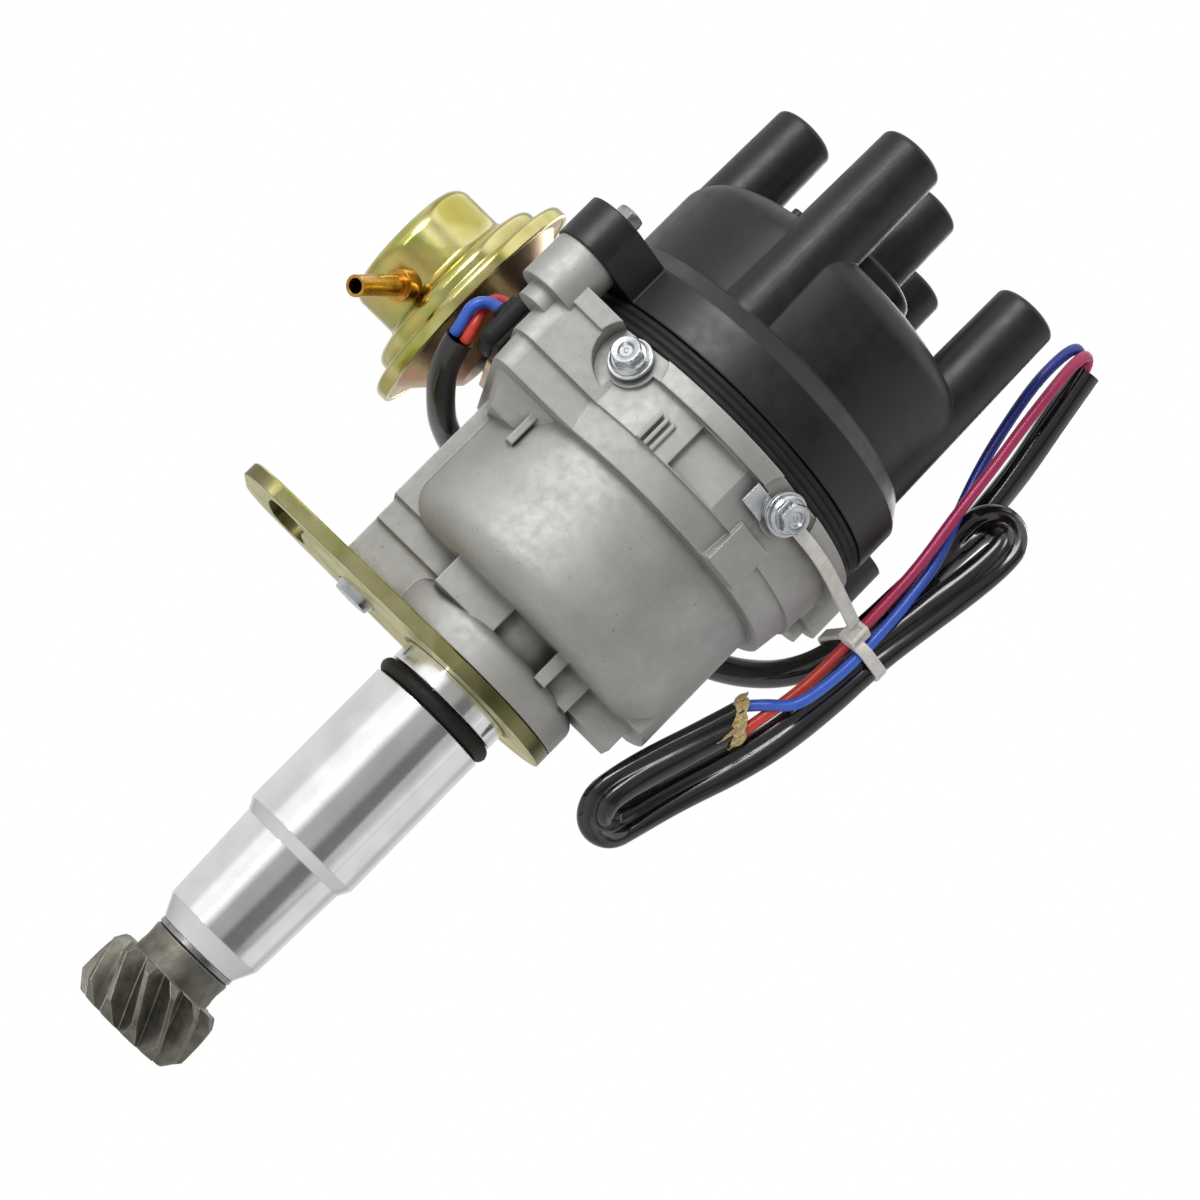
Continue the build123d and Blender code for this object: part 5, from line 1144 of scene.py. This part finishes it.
def make_tie():
    """Nylon tie: a ribbed strap from the screw's eye, its ratchet head, and the loop round the leads."""
    eye_at = SIDE_SEAT + 0.5
    eye_profile = [(2.25, 0), (4.1, 0), (4.3, 0.15), (4.3, 0.35), (4.1, 0.5), (2.25, 0.5)]
    eye = turned_piece("tie_eye", eye_profile, 72)
    put(eye, at_side_screw(SIDE_SCREW_ANGLES[1], eye_at), outward(SIDE_SCREW_ANGLES[1]))
    level = STRAP_BOTTOM + STRAP_WIDTH / 2
    line, gone = evenly(line_along([(x, y, level) for x, y in TIE_STRAP_LINE]), 0.22)
    wide = STRAP_WIDTH / 2 * MM
    thick = STRAP_THICKNESS / 2 * MM

    def outline(n):
        rib = 0.72 + 0.28 * abs(math.sin(gone[n] * math.pi / 1.1))
        half = [(0.8, 1), (1, 0.86), (rib, 0.66), (rib, -0.66), (1, -0.86), (0.8, -1)]
        back = [(-0.8, -1), (-1, -0.86), (-1, 0.86), (-0.8, 1)]
        return np.array([(thick * x, wide * y, 0) for x, y in half + back])

    strap = swept_mesh("tie_strap", line, (0.7, -0.7, 0), outline, closed_ends=True)
    loop_middle = LOOP_BOTTOM + STRAP_WIDTH / 2
    posts = []
    for (x, y), reach in TIE_BUNDLE:
        bpy.ops.object.select_all(action="DESELECT")
        middle = (x * MM, y * MM, loop_middle * MM)
        bpy.ops.mesh.primitive_cylinder_add(
            vertices=64, radius=reach * MM, depth=STRAP_WIDTH * MM, location=middle
        )
        bpy.ops.object.transform_apply(location=True)
        posts.append(bpy.context.object)
    pick(*posts)
    bpy.ops.object.join()
    loop = posts[0]
    open_piece(loop)
    bpy.ops.mesh.select_all(action="SELECT")
    bpy.ops.mesh.convex_hull()
    pick_faces(loop, lambda middle, normal: abs(normal.z) > 0.9, "FACE")
    bpy.ops.mesh.delete(type="FACE")
    close_piece()
    apply_modifier(loop, "SOLIDIFY", thickness=STRAP_THICKNESS * MM, offset=1)
    round_edges(loop, 0.22, 3, 50)
    head_height = STRAP_BOTTOM + STRAP_WIDTH - LOOP_BOTTOM
    bpy.ops.object.select_all(action="DESELECT")
    bpy.ops.mesh.primitive_cube_add(size=1, location=(0, 0, 0))
    head = bpy.context.object
    head.data.transform(Matrix.Diagonal((TIE_HEAD_SIZE[0] * MM, TIE_HEAD_SIZE[1] * MM, head_height * MM, 1)))
    open_piece(head)
    pick_faces(head, lambda middle, normal: abs(normal.z) > 0.9)
    bpy.ops.mesh.inset(thickness=1.0 * MM, use_individual=True)
    bpy.ops.mesh.inset(thickness=0.15 * MM, depth=-0.9 * MM, use_individual=True)
    close_piece()
    round_edges(head, 0.45, 4, 40)
    turn = Matrix.Rotation(math.radians(-30), 4, "Z")
    spot = Vector((*TIE_HEAD_AT, LOOP_BOTTOM + head_height / 2)) * MM
    head.data.transform(Matrix.Translation(spot) @ turn)
    for piece in (eye, strap, loop, head):
        smooth(piece, 35)
    join("cable_tie_moulded", [strap, loop, head, eye], "body", "natural_nylon", "cable_tie")


# Springs, wound in the places of the closed forms that stand for them in the CAD model

SPRING_ANCHOR = 23.0
CAM_POST = (10.0, 150)
SPRING_EYE_BORE = 1.6
GOVERNOR_SPRING_WIRE = 0.7
GOVERNOR_SPRING_TURNS = 9


def slot_of(node):
    """The finish that the record names for a node."""
    return next(row["material_slot"] for row in frame["record"]["subparts"] if row["node"] == node)


def wound(name, line, wire, side, held):
    """Round wire of a given thickness along a line."""
    angles = np.linspace(0, 2 * math.pi, 10, endpoint=False)
    section = np.column_stack([np.cos(angles), np.sin(angles), np.zeros(10)]) * wire / 2
    spring = swept_mesh(name, line, side, lambda n: section, closed_ends=True, held=held)
    smooth(spring, 60)
    return spring


def compression_spring(name, node, axis, turns, wire):
    """Spring with closed ends between the ends of its node."""
    low, high = (np.array(corner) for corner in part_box(node))
    along, across, up = (np.eye(3)[(axis + n) % 3] for n in range(3))
    length = (high - low)[axis]
    radius = ((high - low)[(axis + 1) % 3] - wire) / 2
    turn = np.linspace(0, turns, 36 * turns + 1)
    rise = wire / 2 + np.interp(turn, [0, 1, turns - 1, turns], [0, wire, length - 2 * wire, length - wire])
    start = (low + high) / 2 - along * length / 2
    angle = 2 * math.pi * turn
    coil = np.outer(np.cos(angle), across) + np.outer(np.sin(angle), up)
    line = start + np.outer(rise, along) + radius * coil
    spring = wound(name, line, wire, along, True)
    settle(spring, "body", slot_of(node), node)
    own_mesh(spring)


def governor_spring(name, turned):
    """Spring with an eye at each end, from a post of the shaft's plate to one of the cam's plate."""
    low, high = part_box("governor_springs")
    height = (low[2] + high[2]) / 2
    wire = GOVERNOR_SPRING_WIRE * MM
    posts = []
    for distance, angle in ((SPRING_ANCHOR, 180), CAM_POST):
        angle = math.radians(angle + turned)
        posts.append(np.array([distance * MM * math.cos(angle), distance * MM * math.sin(angle), height]))
    anchor, cam_post = posts
    along = (cam_post - anchor) / np.linalg.norm(cam_post - anchor)
    side = np.array([-along[1], along[0], 0])
    eye = SPRING_EYE_BORE * MM + wire / 2
    coil = (high[2] - low[2] - wire) / 2
    first, last = anchor + along * (eye + wire), cam_post - along * (eye + wire)
    opening = np.radians(np.linspace(30, 360, 34))[:, None]
    closing = np.radians(np.linspace(180, 510, 34))[:, None]
    share = np.linspace(0, 1, GOVERNOR_SPRING_TURNS * 30 + 1)[:, None]
    angle = 2 * math.pi * GOVERNOR_SPRING_TURNS * share
    line = np.concatenate([
        anchor + eye * (np.cos(opening) * along + np.sin(opening) * side),
        first + (last - first) * share + coil * (np.cos(angle) * side + np.sin(angle) * np.eye(3)[2]),
        cam_post + eye * (np.cos(closing) * along + np.sin(closing) * side),
    ])
    spring = wound(name, line, wire, (0, 0, 1), False)
    finish_name = slot_of("governor_springs")
    dress(spring, finish_name)
    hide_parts("governor_springs")
    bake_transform(spring)


def make_springs():
    compression_spring(
        "diaphragm_spring_wound", "diaphragm_spring", 0, 6, 1.1 * MM
    )
    compression_spring("brush_spring_wound", "brush_spring", 2, 9, 0.45 * MM)
    governor_spring("governor_spring_1_wound", 0)
    governor_spring("governor_spring_2_wound", 180)


bpy.context.scene.view_settings.view_transform = "Standard"
set_camera()
light_studio()
add_lamp("key", (-0.58, -0.8, 0.38), 0.5, 3.9)
add_lamp("strip", (-0.5, -0.8, 0.12), 0.03, 0.7, 0.6)
add_lamp("fill", (0.85, -0.45, 0.15), 0.6, 0.3)
add_lamp("rim", (0.25, 0.8, 0.6), 0.5, 2.0)
add_floor()
dress_frame()
make_leads()
make_side_screws()
make_cap_screws()
make_seal_ring()
make_gasket()
make_grommet()
make_vacuum_shell()
make_tie()
make_springs()
